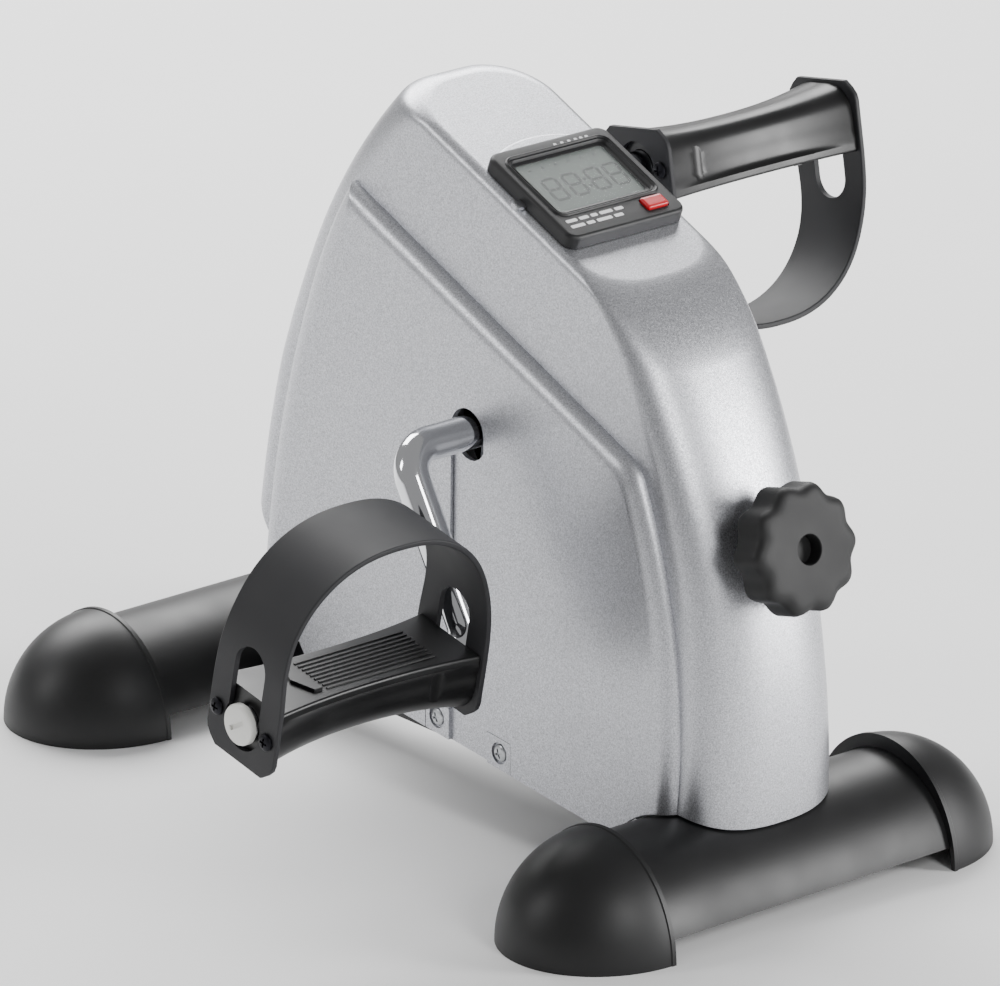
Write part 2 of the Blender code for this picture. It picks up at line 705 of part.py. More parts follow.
def shell(wall):
    """The casing's main form, made smaller all round by a wall."""
    side_r, front_r, rear_r = (max(r - wall, 0.002) for r in TOP_FILLETS)
    depths = [0, 0.0006, 0.0022, 0.0056, 0.010, 0.018, 0.028]
    depths += [0.050, 0.080, 0.115, 0.150, 0.185, 0.220, 0.255, 0.285]
    rings = []
    for depth in depths:
        level = depth + wall
        front = cross(level, FRONT_CENTRE, FRONT_RADIUS - wall, -1) + fillet(depth, front_r)
        rear = cross_rear(level, wall) - fillet(depth, rear_r)
        half = BODY_HALF - wall - fillet(depth, side_r)
        nose = NOSE_DEPTH - wall / 2
        corner = REAR_CORNER[0] - REAR_CORNER[1] * min(depth / CORNER_FALL, 1.0) - wall / 2
        corner_x = min(corner, half - 0.002)
        ring = []
        for k in range(8):
            a = math.pi / 2 * k / 7
            ring.append((half * math.sin(a) ** 0.8, front + nose * (1 - math.cos(a) ** 0.8)))
        for k in range(6):
            a = math.pi / 2 * k / 5
            ring.append((half - corner_x * (1 - math.cos(a)), rear - corner * (1 - math.sin(a))))
        ring += [(-x, s) for x, s in reversed(ring) if x > 1e-6]
        rings.append([(x, *on_slope(s, level)) for x, s in ring])
    return loft(rings)


def panel_outline(front_in, ridge_in, rear_in):
    """Raised side panel in YZ: front arc, ridge parallel to the sloping top, rear arc, low closing line."""
    level = PANEL_DROP + ridge_in
    radius = FRONT_RADIUS - PANEL_FRONT - front_in
    kink = on_slope(cross(level, FRONT_CENTRE, radius, -1), level)
    top = on_slope(cross_rear(level, rear_in), level)
    points = []
    kink_angle = math.atan2(kink[1] - FRONT_CENTRE[1], kink[0] - FRONT_CENTRE[0])
    ease = 0.007
    a0 = math.pi + math.asin((FRONT_CENTRE[1] - 0.001) / radius)
    a1 = kink_angle + ease / radius
    points += arc(FRONT_CENTRE, radius, a0, a1, 8)
    after = (kink[0] + ease * DASH[0], kink[1] + ease * DASH[1])
    last = points[-1]
    for t in (0.33, 0.67):
        weights = (1 - t) ** 2, 2 * t * (1 - t), t * t
        points.append(tuple(sum(w * p[i] for w, p in zip(weights, (last, kink, after))) for i in (0, 1)))
    points.append(after)
    b0 = math.atan2(top[1] - CROWN_CENTRE[1], top[0] - CROWN_CENTRE[0])
    points += arc(CROWN_CENTRE, CROWN_RADIUS - rear_in, b0, REAR_JOIN, 3)[:-1]
    b1 = math.asin((0.001 - REAR_CENTRE[1]) / (REAR_RADIUS - rear_in))
    points += arc(REAR_CENTRE, REAR_RADIUS - rear_in, REAR_JOIN, b1, 6)
    return points


def panel(side, wall):
    """A raised side panel with a rolled edge, from inside the main form outwards."""
    rings = []
    rise = PANEL_HALF - BODY_HALF
    root = BODY_HALF - 0.004 - wall
    for k in range(-1, 5):
        a = max(k, 0) / 4 * math.pi / 2
        x = root if k < 0 else BODY_HALF - wall + rise * math.sin(a)
        roll = 1 - math.cos(a)
        edge = PANEL_ROLL * roll + wall
        outline = panel_outline(edge, edge, PANEL_REAR + PANEL_REAR_ROLL * roll + wall)
        rings.append([(side * x, y, z) for y, z in outline])
    return loft(rings)


def under_edge(z_low):
    """All below the casing's lower edge, in YZ: saddle over the front foot, straight run, rear corner."""
    saddle = BEAM_RADIUS + 0.0009
    slope = (EDGE_LOW_REAR[1] - EDGE_LOW_FRONT[1]) / (EDGE_LOW_REAR[0] - EDGE_LOW_FRONT[0])
    angle = math.radians(35)
    for _ in range(20):
        y = -FOOT_Y + saddle * math.cos(angle)
        angle = math.asin((EDGE_LOW_FRONT[1] + (y - EDGE_LOW_FRONT[0]) * slope) / saddle)
    outline = arc((-FOOT_Y, 0), saddle, math.pi, angle, 20)
    far, near = 0.150, -0.230
    outline += [EDGE_LOW_REAR, EDGE_REAR, (far, EDGE_REAR[1] + 0.02)]
    outline += [(far, z_low), (near, z_low), (near, 0.0)]
    return outline


def edge_height(y):
    slope = (EDGE_LOW_REAR[1] - EDGE_LOW_FRONT[1]) / (EDGE_LOW_REAR[0] - EDGE_LOW_FRONT[0])
    return EDGE_LOW_FRONT[1] + (y - EDGE_LOW_FRONT[0]) * slope


def slot_outline(grow):
    """The slot that lets the casing down over the crank, in YZ."""
    outline = arc((CRANK_Y, CRANK_Z), SLOT_TOP + grow, 0, math.pi, 12)
    return outline + [(CRANK_Y - SLOT_LOW - grow, SLOT_END), (CRANK_Y + SLOT_LOW + grow, SLOT_END)]


def slot_half(z):
    return SLOT_LOW + (SLOT_TOP - SLOT_LOW) * (z - SLOT_END) / (CRANK_Z - SLOT_END)


def ear_outline(grow):
    """The two ears at the bottom of the slot, as one bar across it."""
    left, right = CRANK_Y - SLOT_LOW - EAR - grow, CRANK_Y + SLOT_LOW + EAR + grow
    low = 0.010
    tops = [(y, edge_height(y) + EAR_HIGH + grow) for y in (left, right)]
    return [(left, low)] + tops + [(right, low)]


def ear_screws():
    out = []
    for sign in (-1, 1):
        y = CRANK_Y + sign * (SLOT_LOW + EAR / 2)
        out.append((y, edge_height(y) + EAR_HIGH / 2))
    return out


def casing():
    body = build("casing", *shell(0), SILVER)
    for side in SIDES.values():
        combine(body, panel(side, 0), "UNION")
    z0 = display_plane(0.0)
    pad_low = math.asin((CASE[1] / 2 + GAP - PAD_V) / PAD_RISE)
    pad = [(u, PAD_V + v) for u, v in arc((0, 0), 1.0, pad_low, math.pi - pad_low, 12)]
    pad = [(PAD_HALF * u, PAD_V + PAD_RISE * (v - PAD_V)) for u, v in pad]
    combine(body, prism(pad, "Z", -0.001, 0.0008), "UNION", DISPLAY_TURN, z0)
    combine(body, shell(WALL))
    for side in SIDES.values():
        combine(body, panel(side, WALL))
    combine(body, prism(under_edge(-0.12), "X", -0.06, 0.06))
    for side in SIDES.values():
        low, high = sorted((side * 0.030, side * 0.050))
        combine(body, prism(slot_outline(0), "X", low, high))
        combine(body, prism(ear_outline(0), "X", low, high))
    opening = (SKIRT[0] + 0.0014, SKIRT[1] + 0.0014)
    combine(body, prism(rounded(opening, 0.003), "Z", -0.02, 0.01), turn=DISPLAY_TURN, pivot=z0)
    hole = [(0, -0.08), (SCREW_RADIUS + 0.0012, -0.08), (SCREW_RADIUS + 0.0012, -0.01), (0, -0.01)]
    combine(body, turned(hole, 16), turn=SCREW_TURN, pivot=KNOB_FACE)
    return body


def clipped(outline, low_at):
    """An outline whose lowest points are lifted onto the casing's lower edge."""
    return [(y, max(z, low_at(y))) for y, z in outline]


def slot_cover(name, side):
    """Closing strip for the slot, set back from the panel, with a screw ear on each side at the bottom."""
    top = CRANK_Z - HOLE_DROP
    strip = arc((CRANK_Y, top), SLOT_TOP - 0.0008, math.pi, 2 * math.pi, 10)
    strip.append((CRANK_Y + slot_half(top) - GAP, top))
    for sign in (1, -1):
        z = edge_height(CRANK_Y + sign * SLOT_LOW)
        strip.append((CRANK_Y + sign * (slot_half(z) - GAP), z))
    strip.append((CRANK_Y - slot_half(top) + GAP, top))
    ears = clipped(ear_outline(-GAP), edge_height)
    outer = PANEL_HALF - 0.0016
    low, high = sorted((side * (outer - COVER), side * outer))
    cover = build(f"{name}_slot_cover", *prism(strip, "X", low, high), SILVER)
    low, high = sorted((side * (outer - COVER), side * (PANEL_HALF - 0.0001)))
    bar = prism(ears, "X", low, high)
    combine(cover, bar, "UNION")
    groove = [(CRANK_Y + s * slot_half(z), z) for s, z in ((-1, 0.0), (1, 0.0), (1, 0.060), (-1, 0.060))]
    low, high = sorted((side * outer, side * 0.050))
    combine(cover, prism(groove, "X", low, high))
    for y, z in ear_screws():
        seat, bore, clear, past = outer + 0.0001, 0.0020, 0.0046, 0.01
        sink = [(0, outer - past), (bore, outer - past), (bore, seat)]
        sink += [(clear, seat), (clear, outer + past), (0, outer + past)]
        combine(cover, turned(sink, 16), turn=facing(side), pivot=(0, y, z))
    return cover


def cross_screw(name, head, height, shank, length, pivot, turn, look, parent=None):
    """Pan-head cross-recess screw along +z, its head's underside at z = 0."""
    profile = [(0, -length), (shank, -length + shank), (shank, 0), (head, 0), (head, height * 0.4)]
    profile += [(head * 0.7, height), (0, height)]
    screw = build(name, *turned(profile, 10), look, pivot, turn, parent)
    arm, half, deep = head * 0.52, head * 0.13, height * 0.45
    plus = [(arm, half), (half, half), (half, arm), (-half, arm), (-half, half), (-arm, half)]
    plus += [(-x, -y) for x, y in plus]
    combine(screw, prism(plus, "Z", height - deep, height + 0.002), turn=turn, pivot=pivot)
    return screw


def cover_screws(name, side):
    for place, (y, z) in zip(("front", "rear"), ear_screws()):
        at = side * (PANEL_HALF - 0.0016 + 0.0001 + GAP)
        screw = f"{name}_{place}_cover_screw"
        cross_screw(screw, 0.0036, 0.0016, 0.0017, 0.009, (at, y, z), facing(side), STEEL)


# ---------------------------------------------------------------- counter


DISPLAY_TURN = Matrix.Rotation(SLOPE, 4, "X")


def display_plane(up):
    """The counter's centre, this far out of the sloping top."""
    z = TOP_Z + DISPLAY_Y * math.tan(SLOPE)
    return Vector((0, DISPLAY_Y - up * math.sin(SLOPE), z + up * math.cos(SLOPE)))


def counter():
    place = {"turn": DISPLAY_TURN, "pivot": display_plane(0.0)}
    size = CASE
    rings = []
    levels = (GAP, 0.0), (CASE_HIGH - 0.0016, 0.0), (CASE_HIGH - 0.0005, 0.0006), (CASE_HIGH, 0.0018)
    for h, inset in levels:
        outline = rounded((size[0] - 2 * inset, size[1] - 2 * inset), 0.005 - inset)
        rings.append([(x, y, h) for x, y in outline])
    housing = build("display_housing", *loft(rings), BLACK, display_plane(0.0), DISPLAY_TURN)
    combine(housing, prism(rounded(SKIRT, 0.0025), "Z", -SKIRT_DEEP, 0.002), "UNION", **place)
    inside = rounded((SKIRT[0] - 0.004, SKIRT[1] - 0.004), 0.0015, 2)
    combine(housing, prism(inside, "Z", -0.02, 0.0025), **place)
    combine(housing, prism(rounded((0.054, 0.050), 0.002, 2), "Z", 0.0010, 0.0043), **place)
    recess = prism(rounded((0.052, 0.037), 0.003, at=(0, WINDOW_UP)), "Z", 0.0049, 0.01)
    combine(housing, recess, **place)
    combine(housing, prism(rounded(WINDOW, 0.002, at=(0, WINDOW_UP)), "Z", 0.004, 0.01), **place)
    hole = (BUTTON[0] + 2 * GAP, BUTTON[1] + 2 * GAP)
    combine(housing, prism(rounded(hole, 0.001, 2, BUTTON_AT), "Z", 0.003, 0.01), **place)
    clip = box((0.006, 0.008, 0.0018), (-CASE[0] / 2 - 0.002, 0.001, 0.0012 + GAP))
    combine(housing, clip, "UNION", **place)
    lens = prism(rounded((0.0514, 0.0364), 0.0027, at=(0, WINDOW_UP)), "Z", 0.0052, 0.0060)
    build("display_lens", *lens, CLEAR, display_plane(0.0), DISPLAY_TURN)
    glass = prism(rounded((0.048, 0.033), 0.0005, 1, (0, WINDOW_UP)), "Z", 0.0024, 0.0040)
    build("lcd_module", *glass, LCD, display_plane(0.0), DISPLAY_TURN)
    board = prism(rounded((0.0534, 0.0494), 0.001, 1), "Z", 0.0013, 0.0021)
    build("circuit_board", *board, BOARD, display_plane(0.0), DISPLAY_TURN)
    cell = [(0, -0.0045), (0.0055, -0.0045), (0.0058, -0.0042)]
    cell += [(0.0058, 0.0005), (0.0048, 0.0008), (0, 0.0008)]
    build("button_cell", *turned(cell, 20), STEEL, display_plane(0.0), DISPLAY_TURN)


def reset_button():
    pivot = Matrix.Translation(display_plane(0.0)) @ DISPLAY_TURN @ Vector((*BUTTON_AT, 0.0))
    rings = []
    for h, inset in ((0.0032, 0), (0.0066, 0), (0.0070, 0.0004)):
        outline = rounded((BUTTON[0] - 2 * inset, BUTTON[1] - 2 * inset), 0.0008, 2)
        rings.append([(x, y, h) for x, y in outline])
    return build("reset_button", *loft(rings), RED, pivot, DISPLAY_TURN)


# ---------------------------------------------------------------- pedals


def pedal_place(side):
    """The pedal's own frame: x outwards, z towards the strap."""
    y, z = spindle(side)
    tilt = LEFT_TILT if side == LEFT else RIGHT_TILT
    turn = Matrix.Rotation(tilt, 4, "X")
    if side == LEFT:
        turn = turn @ Matrix.Rotation(math.pi, 4, "Z")
    return Vector((0, y, z)), turn


def pedal_section(x, spread):
    """The pedal's outline across the spindle: a flat tread above, a rounded belly below."""
    top = 0.0150 + 0.0035 * spread
    belly = 0.0125 + 0.0055 * spread
    low = PEDAL_LOW - 0.0035 * (1 - spread)
    edge = 0.0012
    right = [(top * 0.5, TREAD_HIGH), (top - edge, TREAD_HIGH), (top, TREAD_HIGH - edge)]
    right += [(top, TREAD_HIGH - 0.004), (belly, TREAD_HIGH - 0.0085), (belly * 0.98, -0.002)]
    right += [(belly * 0.95, -low * 0.55), (belly * 0.72, -low * 0.88), (belly * 0.35, -low)]
    ring = right + [(-y, z) for y, z in reversed(right)]
    return [(x, y, z) for y, z in ring]


def pedal_body(name, side, parent):
    pivot, turn = pedal_place(side)
    middle, half = (PEDAL_IN + PEDAL_OUT) / 2, (PEDAL_OUT - PEDAL_IN) / 2
    rings = []
    for k in range(11):
        t = -1 + 2 * k / 10
        rings.append(pedal_section(middle + half * t, min(abs(t) ** 2.2, 1.0)))
    body = build(f"{name}_pedal_body", *loft(rings), BLACK, pivot, turn, parent)
    bore = ROD_RADIUS + RUN
    hole = [(0, 0.05), (bore, 0.05), (bore, 0.25), (0, 0.25)]
    combine(body, turned(hole, 14), turn=turn @ ALONG_X, pivot=pivot)
    return body


def strap_route():
    """Middle line of the strap in the pedal's xz plane: up the outer plate, over, down the inner plate."""
    inside, outside = PEDAL_IN - GAP - STRAP / 2, PEDAL_OUT + GAP + STRAP / 2
    middle, half = (inside + outside) / 2, (outside - inside) / 2
    spring = 0.022
    reach = STRAP_REACH - STRAP / 2 - spring
    route = [(outside, -PLATE_LOW), (outside, -0.006), (outside, 0.008)]
    for k in range(21):
        a = math.pi * k / 20
        c, s = math.cos(a), math.sin(a)
        x = middle + half * math.copysign(abs(c) ** 0.86, c)
        route.append((x, spring + reach * s**0.92))
    return route + [(inside, 0.008), (inside, -0.006), (inside, -PLATE_LOW)]


def strap_width(z):
    """Half width: wide at the plates, narrower over the foot."""
    ease = min(max((z - 0.010) / 0.040, 0.0), 1.0)
    return (PLATE_WIDTH + (STRAP_WIDTH - PLATE_WIDTH) * ease * ease * (3 - 2 * ease)) / 2


def pedal_strap(name, side, parent):
    """One flat PVC band whose wide ends are screwed to the pedal's two end faces."""
    pivot, turn = pedal_place(side)
    route = strap_route()
    rings = []
    for i, (x, z) in enumerate(route):
        a, b = route[max(i - 1, 0)], route[min(i + 1, len(route) - 1)]
        tx, tz = b[0] - a[0], b[1] - a[1]
        length = math.hypot(tx, tz)
        nx, nz = -tz / length * STRAP / 2, tx / length * STRAP / 2
        half = strap_width(z)
        if i in (0, len(route) - 1):
            half -= 0.006
        out, back = (x + nx, z + nz), (x - nx, z - nz)
        ring = [(out[0], -half, out[1]), (out[0], half, out[1])]
        rings.append(ring + [(back[0], half, back[1]), (back[0], -half, back[1])])
    strap = build(f"{name}_pedal_strap", *loft(rings), PVC, pivot, turn, parent)
    slot = arc((0, -0.0005), 0.0105, math.pi, 2 * math.pi, 10) + arc((0, 0.024), 0.0100, 0, math.pi, 10)
    for x in (PEDAL_IN, PEDAL_OUT):
        combine(strap, prism(slot, "X", x - 0.007, x + 0.007), turn=turn, pivot=pivot)
    return strap


STRAP_SCREW = (0.0150, 0.000)


def pedal_fasteners(name, side, pedal, crank):
    """Screws through the strap's ends, and the push-on cap at the spindle's end."""
    pivot, turn = pedal_place(side)
    for end, x, sign in (("outer", PEDAL_OUT + 2 * GAP + STRAP, 1), ("inner", PEDAL_IN - 2 * GAP - STRAP, -1)):
        for place, y in (("front", -STRAP_SCREW[0]), ("rear", STRAP_SCREW[0])):
            at = Matrix.Translation(pivot) @ turn @ Vector((x, y, STRAP_SCREW[1]))
            screw = f"{name}_{end}_{place}_strap_screw"
            cross_screw(screw, 0.0030, 0.0012, 0.0011, 0.009, at, turn @ facing(sign), BLACK, pedal)
    y, z = spindle(side)
    cap = [(0, 0), (0.0079, 0), (0.0083, 0.0004), (0.0083, 0.0026), (0.0075, 0.0034), (0, 0.0038)]
    at = (side * (PEDAL_OUT + SPINDLE_PAST + GAP), y, z)
    build(f"{name}_spindle_cap", *turned(cap, 20), NYLON, at, facing(side), crank)


def drill_pedal(obj, side):
    """Screw holes, which go through the strap and into the pedal's end faces."""
    pivot, turn = pedal_place(side)
    bore = 0.0011 + RUN
    for x, sign in ((PEDAL_OUT, 1), (PEDAL_IN, -1)):
        for y in (-STRAP_SCREW[0], STRAP_SCREW[0]):
            at = Matrix.Translation(pivot) @ turn @ Vector((x, y, STRAP_SCREW[1]))
            hole = [(0, -0.0075), (bore, -0.0075), (bore, 0.006), (0, 0.006)]
            combine(obj, turned(hole, 10), turn=turn @ facing(sign), pivot=at)


def pedals(crank):
    for name, side in SIDES.items():
        y, z = spindle(side)
        pedal = joint(f"{name}_pedal_axis", (side * (PEDAL_IN + PEDAL_OUT) / 2, y, z))
        pedal.parent = crank
        bpy.context.view_layer.update()
        pedal.matrix_parent_inverse = crank.matrix_world.inverted()
        bpy.context.view_layer.update()
        drill_pedal(pedal_body(name, side, pedal), side)
        drill_pedal(pedal_strap(name, side, pedal), side)
        pedal_fasteners(name, side, pedal, crank)


# ---------------------------------------------------------------- assembly


for end, sign in (("front", -1), ("rear", 1)):
    foot_beam(end, sign)
    foot_bolt(end, sign)
    for name, side in SIDES.items():
        foot_cap(end, sign, name, side)
base_rail()
casing_bracket()
for name, side in SIDES.items():
    upright(name, side)
    bush(name, side)
anchor_pin()
reed_sensor()
crank_axis = joint("crank_axis", (0, CRANK_Y, CRANK_Z))
bpy.context.view_layer.update()
crankshaft(crank_axis)
brake_drum(crank_axis)
crank_small_parts(crank_axis)
pedals(crank_axis)
knob_axis = joint("knob_axis", KNOB_FACE)
bpy.context.view_layer.update()
tension_knob(knob_axis)
tension_screw(knob_axis)
tension_nut()
tension_bracket()
brake_band()
casing()
for name, side in SIDES.items():
    slot_cover(name, side)
    cover_screws(name, side)
counter()
reset_button()
bpy.context.view_layer.update()
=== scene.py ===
import json
import math

import bmesh
import bpy
from mathutils import Matrix, Vector

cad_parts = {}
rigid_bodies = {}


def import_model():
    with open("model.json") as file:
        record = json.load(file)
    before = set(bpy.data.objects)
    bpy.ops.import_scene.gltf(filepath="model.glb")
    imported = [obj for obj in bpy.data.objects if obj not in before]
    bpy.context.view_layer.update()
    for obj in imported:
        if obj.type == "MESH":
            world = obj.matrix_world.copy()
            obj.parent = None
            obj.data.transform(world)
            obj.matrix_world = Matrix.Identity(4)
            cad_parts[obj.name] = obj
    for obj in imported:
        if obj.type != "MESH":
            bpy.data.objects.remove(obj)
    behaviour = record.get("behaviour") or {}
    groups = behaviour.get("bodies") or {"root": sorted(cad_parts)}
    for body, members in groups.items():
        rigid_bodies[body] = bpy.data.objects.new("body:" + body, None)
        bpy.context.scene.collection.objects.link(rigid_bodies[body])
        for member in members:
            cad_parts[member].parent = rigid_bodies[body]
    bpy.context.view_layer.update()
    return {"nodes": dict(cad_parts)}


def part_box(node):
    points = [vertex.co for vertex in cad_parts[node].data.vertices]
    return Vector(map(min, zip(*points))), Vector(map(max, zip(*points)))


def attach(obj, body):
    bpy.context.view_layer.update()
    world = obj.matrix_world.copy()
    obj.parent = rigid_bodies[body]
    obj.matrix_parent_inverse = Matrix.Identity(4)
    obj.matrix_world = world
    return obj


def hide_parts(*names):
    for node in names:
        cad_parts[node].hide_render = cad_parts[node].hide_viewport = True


for leftover in list(bpy.data.objects):
    bpy.data.objects.remove(leftover, do_unlink=True)
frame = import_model()

# ---------------------------------------------------------------- foot beams
# Two half-round bars of black polypropylene, moulded hollow with a boss in the middle for the
# foot bolt. Each stands across the machine, bolted to the steel rail that passes under it.

MM = 0.001


def linear(colour):
    """An sRGB hex colour as the linear red, green, blue and alpha that a shader takes."""
    out = []
    for k in (1, 3, 5):
        value = int(colour[k : k + 2], 16) / 255
        out.append(value / 12.92 if value <= 0.04045 else ((value + 0.055) / 1.055) ** 2.4)
    return (*out, 1.0)


def new_material(name):
    """An empty material with its Principled shader: (material, node tree, shader)."""
    made = bpy.data.materials.new(name)
    made.use_nodes = True
    return made, made.node_tree, made.node_tree.nodes["Principled BSDF"]


def wire(tree, node, links):
    """Sets a node's inputs. Each name goes with a value or with another node's output."""
    for key, value in links.items():
        if isinstance(value, bpy.types.NodeSocket):
            tree.links.new(value, node.inputs[key])
        else:
            node.inputs[key].default_value = value


def add(tree, kind, links=None, **settings):
    """Adds a node with its settings and wires its inputs."""
    made = tree.nodes.new("ShaderNode" + kind)
    for key, value in settings.items():
        setattr(made, key, value)
    wire(tree, made, links or {})
    return made


def own_space(tree):
    """The piece's own coordinates, so that a pattern stays on the piece when it moves."""
    return add(tree, "TexCoord").outputs["Object"]


def blend(tree, factor, first, second):
    """A mix of two hex colours."""
    links = {0: factor, 6: linear(first), 7: linear(second)}
    return add(tree, "Mix", links, data_type="RGBA").outputs[2]


def ramp(tree, factor, *stops):
    """A colour ramp between two stops, each a position and a hex colour."""
    made = add(tree, "ValToRGB", {"Fac": factor})
    for element, (position, colour) in zip(made.color_ramp.elements, stops):
        element.position, element.color = position, linear(colour)
    return made.outputs["Color"]


def moulded_plastic(name, colour, worn, roughness, spread, grain_mm, depth):
    """Spark-eroded tool texture: a fine pebble in the surface, and a slow change of gloss from handling."""
    made, tree, shader = new_material(name)
    place = own_space(tree)
    pebble = add(tree, "TexNoise", {"Vector": place, "Scale": 1 / (grain_mm * MM), "Detail": 2.0,
                                    "Roughness": 0.6})
    cloud = add(tree, "TexNoise", {"Vector": place, "Scale": 28.0, "Detail": 3.0, "Roughness": 0.55})
    tone = ramp(tree, cloud.outputs["Fac"], (0.30, colour), (0.78, worn))
    gloss = add(tree, "MapRange", {"Value": cloud.outputs["Fac"], "From Min": 0.3, "From Max": 0.7,
                                   "To Min": roughness - spread, "To Max": roughness + spread})
    bump = add(tree, "Bump", {"Height": pebble.outputs["Fac"], "Strength": depth, "Distance": 0.12 * MM})
    wire(tree, shader, {"Base Color": tone, "Roughness": gloss.outputs["Result"],
                        "Normal": bump.outputs["Normal"]})
    return made


def skin(rings, ends=True):
    """A skin through rings of equal length. Without ends the last ring meets the first."""
    count = len(rings[0])
    points = [p for ring in rings for p in ring]
    faces = []
    for i in range(len(rings) - 1 if ends else len(rings)):
        a, b = i * count, (i + 1) % len(rings) * count
        faces += [(a + k, a + (k + 1) % count, b + (k + 1) % count, b + k) for k in range(count)]
    if ends:
        faces += [tuple(range(count)), tuple(range(len(points) - count, len(points)))]
    return points, faces


def arc(centre, radius, start, end, steps):
    """Points on an arc in a plane, both ends included."""
    angles = [start + (end - start) * k / steps for k in range(steps + 1)]
    return [(centre[0] + radius * math.cos(a), centre[1] + radius * math.sin(a)) for a in angles]


def circle(steps):
    return [2 * math.pi * k / steps for k in range(steps)]


def turned(profile, steps=64):
    """A profile of (radius, height) turned about Z. One that starts off the axis makes a ring."""
    rings = [[(r * math.cos(a), r * math.sin(a), h) for a in circle(steps)] for r, h in profile if r > 0]
    if profile[0][0] > 0:
        return skin(rings, ends=False)
    points, faces = skin(rings)
    first, last, base = len(points), len(points) + 1, len(points) - steps
    points += [(0, 0, profile[0][1]), (0, 0, profile[-1][1])]
    faces = faces[:-2]
    faces += [(first, (k + 1) % steps, k) for k in range(steps)]
    faces += [(last, base + k, base + (k + 1) % steps) for k in range(steps)]
    return points, faces


def block(size, at=(0, 0, 0)):
    x, y, z = (s / 2 for s in size)
    corners = (x, y), (-x, y), (-x, -y), (x, -y)
    return skin([[(at[0] + a, at[1] + b, at[2] + h) for a, b in corners] for h in (-z, z)])


def mm(*points):
    """Points given in millimetres, in metres."""
    return [tuple(c * MM for c in p) for p in points]


def placed(at, angle, axis):
    """The place of a shape that is turned about one axis and then moved."""
    return Matrix.Translation(at) @ Matrix.Rotation(angle, 4, axis)


def mesh_object(name, shape, place=None):
    """An object from (points, faces), which are first put in their place in the machine."""
    data = bpy.data.meshes.new(name)
    data.from_pydata([tuple(p) for p in shape[0]], [], shape[1])
    work = bmesh.new()
    work.from_mesh(data)
    bmesh.ops.remove_doubles(work, verts=work.verts, dist=1e-6)
    bmesh.ops.recalc_face_normals(work, faces=work.faces)
    work.to_mesh(data)
    work.free()
    if place is not None:
        data.transform(place)
    made = bpy.data.objects.new(name, data)
    bpy.context.scene.collection.objects.link(made)
    return made


def combine(piece, shape, operation="DIFFERENCE", place=None):
    """Cuts a shape from a piece or joins it on, and keeps the result as the piece's own mesh."""
    tool = mesh_object("tool", shape, place)
    change = piece.modifiers.new("change", "BOOLEAN")
    change.operation, change.object, change.solver = operation, tool, "MANIFOLD"
    graph = bpy.context.evaluated_depsgraph_get()
    result = bpy.data.meshes.new_from_object(piece.evaluated_get(graph))
    piece.modifiers.clear()
    piece.data = result
    bpy.data.objects.remove(tool)


def fit(piece, body, material, slot, *nodes, sharp=35):
    """Gives a finished mesh its finish, its smooth shading and its place in the machine."""
    piece.data.materials.clear()
    piece.data.materials.append(material)
    piece.data.shade_smooth()
    piece.data.set_sharp_from_angle(angle=math.radians(sharp))
    weigh = piece.modifiers.new("weighted_normals", "WEIGHTED_NORMAL")
    weigh.keep_sharp = True
    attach(piece, body)
    if nodes:
        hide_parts(*nodes)
    return piece


# Polypropylene: waxy, dark, and a little glossier where it was rubbed.
foot_black = moulded_plastic("satin_black_polypropylene", "#050506", "#0c0c0e", 0.46, 0.05, 0.9, 0.10)

BEAM_WALL = 4.0 * MM
RAIL_TOP = 30.0 * MM
BOSS_RADIUS, BOLT_HOLE = 9.0 * MM, 4.3 * MM
NOTCH, NOTCH_IN = (25.2 * MM, 40.0 * MM), 34.0 * MM
for end, sign in (("front", -1), ("rear", 1)):
    low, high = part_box(f"{end}_foot_beam")
    middle, radius, hem = (low.y + high.y) / 2, high.z, low.z
    lip = math.asin(hem / radius)
    inner = radius - BEAM_WALL
    inner_lip = math.asin(hem / inner)
    outline = arc((middle, 0), radius, lip, math.pi - lip, 96)
    outline += arc((middle, 0), inner, math.pi - inner_lip, inner_lip, 64)
    beam = mesh_object(f"{end}_beam", skin([[(x, y, z) for y, z in outline] for x in (low.x, high.x)]))
    under, over = RAIL_TOP + 0.3 * MM, inner + 2 * MM
    boss = turned([(BOSS_RADIUS, under), (BOSS_RADIUS, over), (BOLT_HOLE, over), (BOLT_HOLE, under)], 32)
    combine(beam, boss, "UNION", Matrix.Translation((0, middle, 0)))
    notch = block((*NOTCH, RAIL_TOP + 0.6 * MM), (0, middle - sign * NOTCH_IN, RAIL_TOP / 2))
    combine(beam, notch)
    fit(beam, "base", foot_black, "black_casing_plastic", f"{end}_foot_beam")

# ---------------------------------------------------------------- foot caps
# Four hollow quarter-domes pushed over the ends of the beams, moulded in the same black
# polypropylene. Their rims are what the machine stands on.

CAP_WALL = 3.5 * MM
CAP_LAP = 6.0 * MM
RIM_WIDTH, RIM_STEP = 1.8 * MM, 0.45 * MM


def quarter_dome(length, half_width, height, steps, start=0.0):
    """Half an ellipsoid on the floor, from a flat face at the start outwards along +x."""
    rings = []
    edge = [0.0, RIM_WIDTH / length, (RIM_WIDTH + RIM_STEP) / length]
    angles = [math.asin(e) for e in edge]
    angles += [math.pi / 2 * k / (steps + 0.25) for k in range(2, steps + 1)]
    arch = [math.pi * b / 56 for b in range(57)]
    for i, a in enumerate(angles):
        shrink = math.cos(a) - (RIM_STEP / half_width if i > 1 else 0.0) * math.cos(a)
        x, wide, tall = start + length * math.sin(a), half_width * shrink, height * shrink
        rings.append([(x, wide * math.cos(b), tall * math.sin(b)) for b in arch])
    return skin(rings)


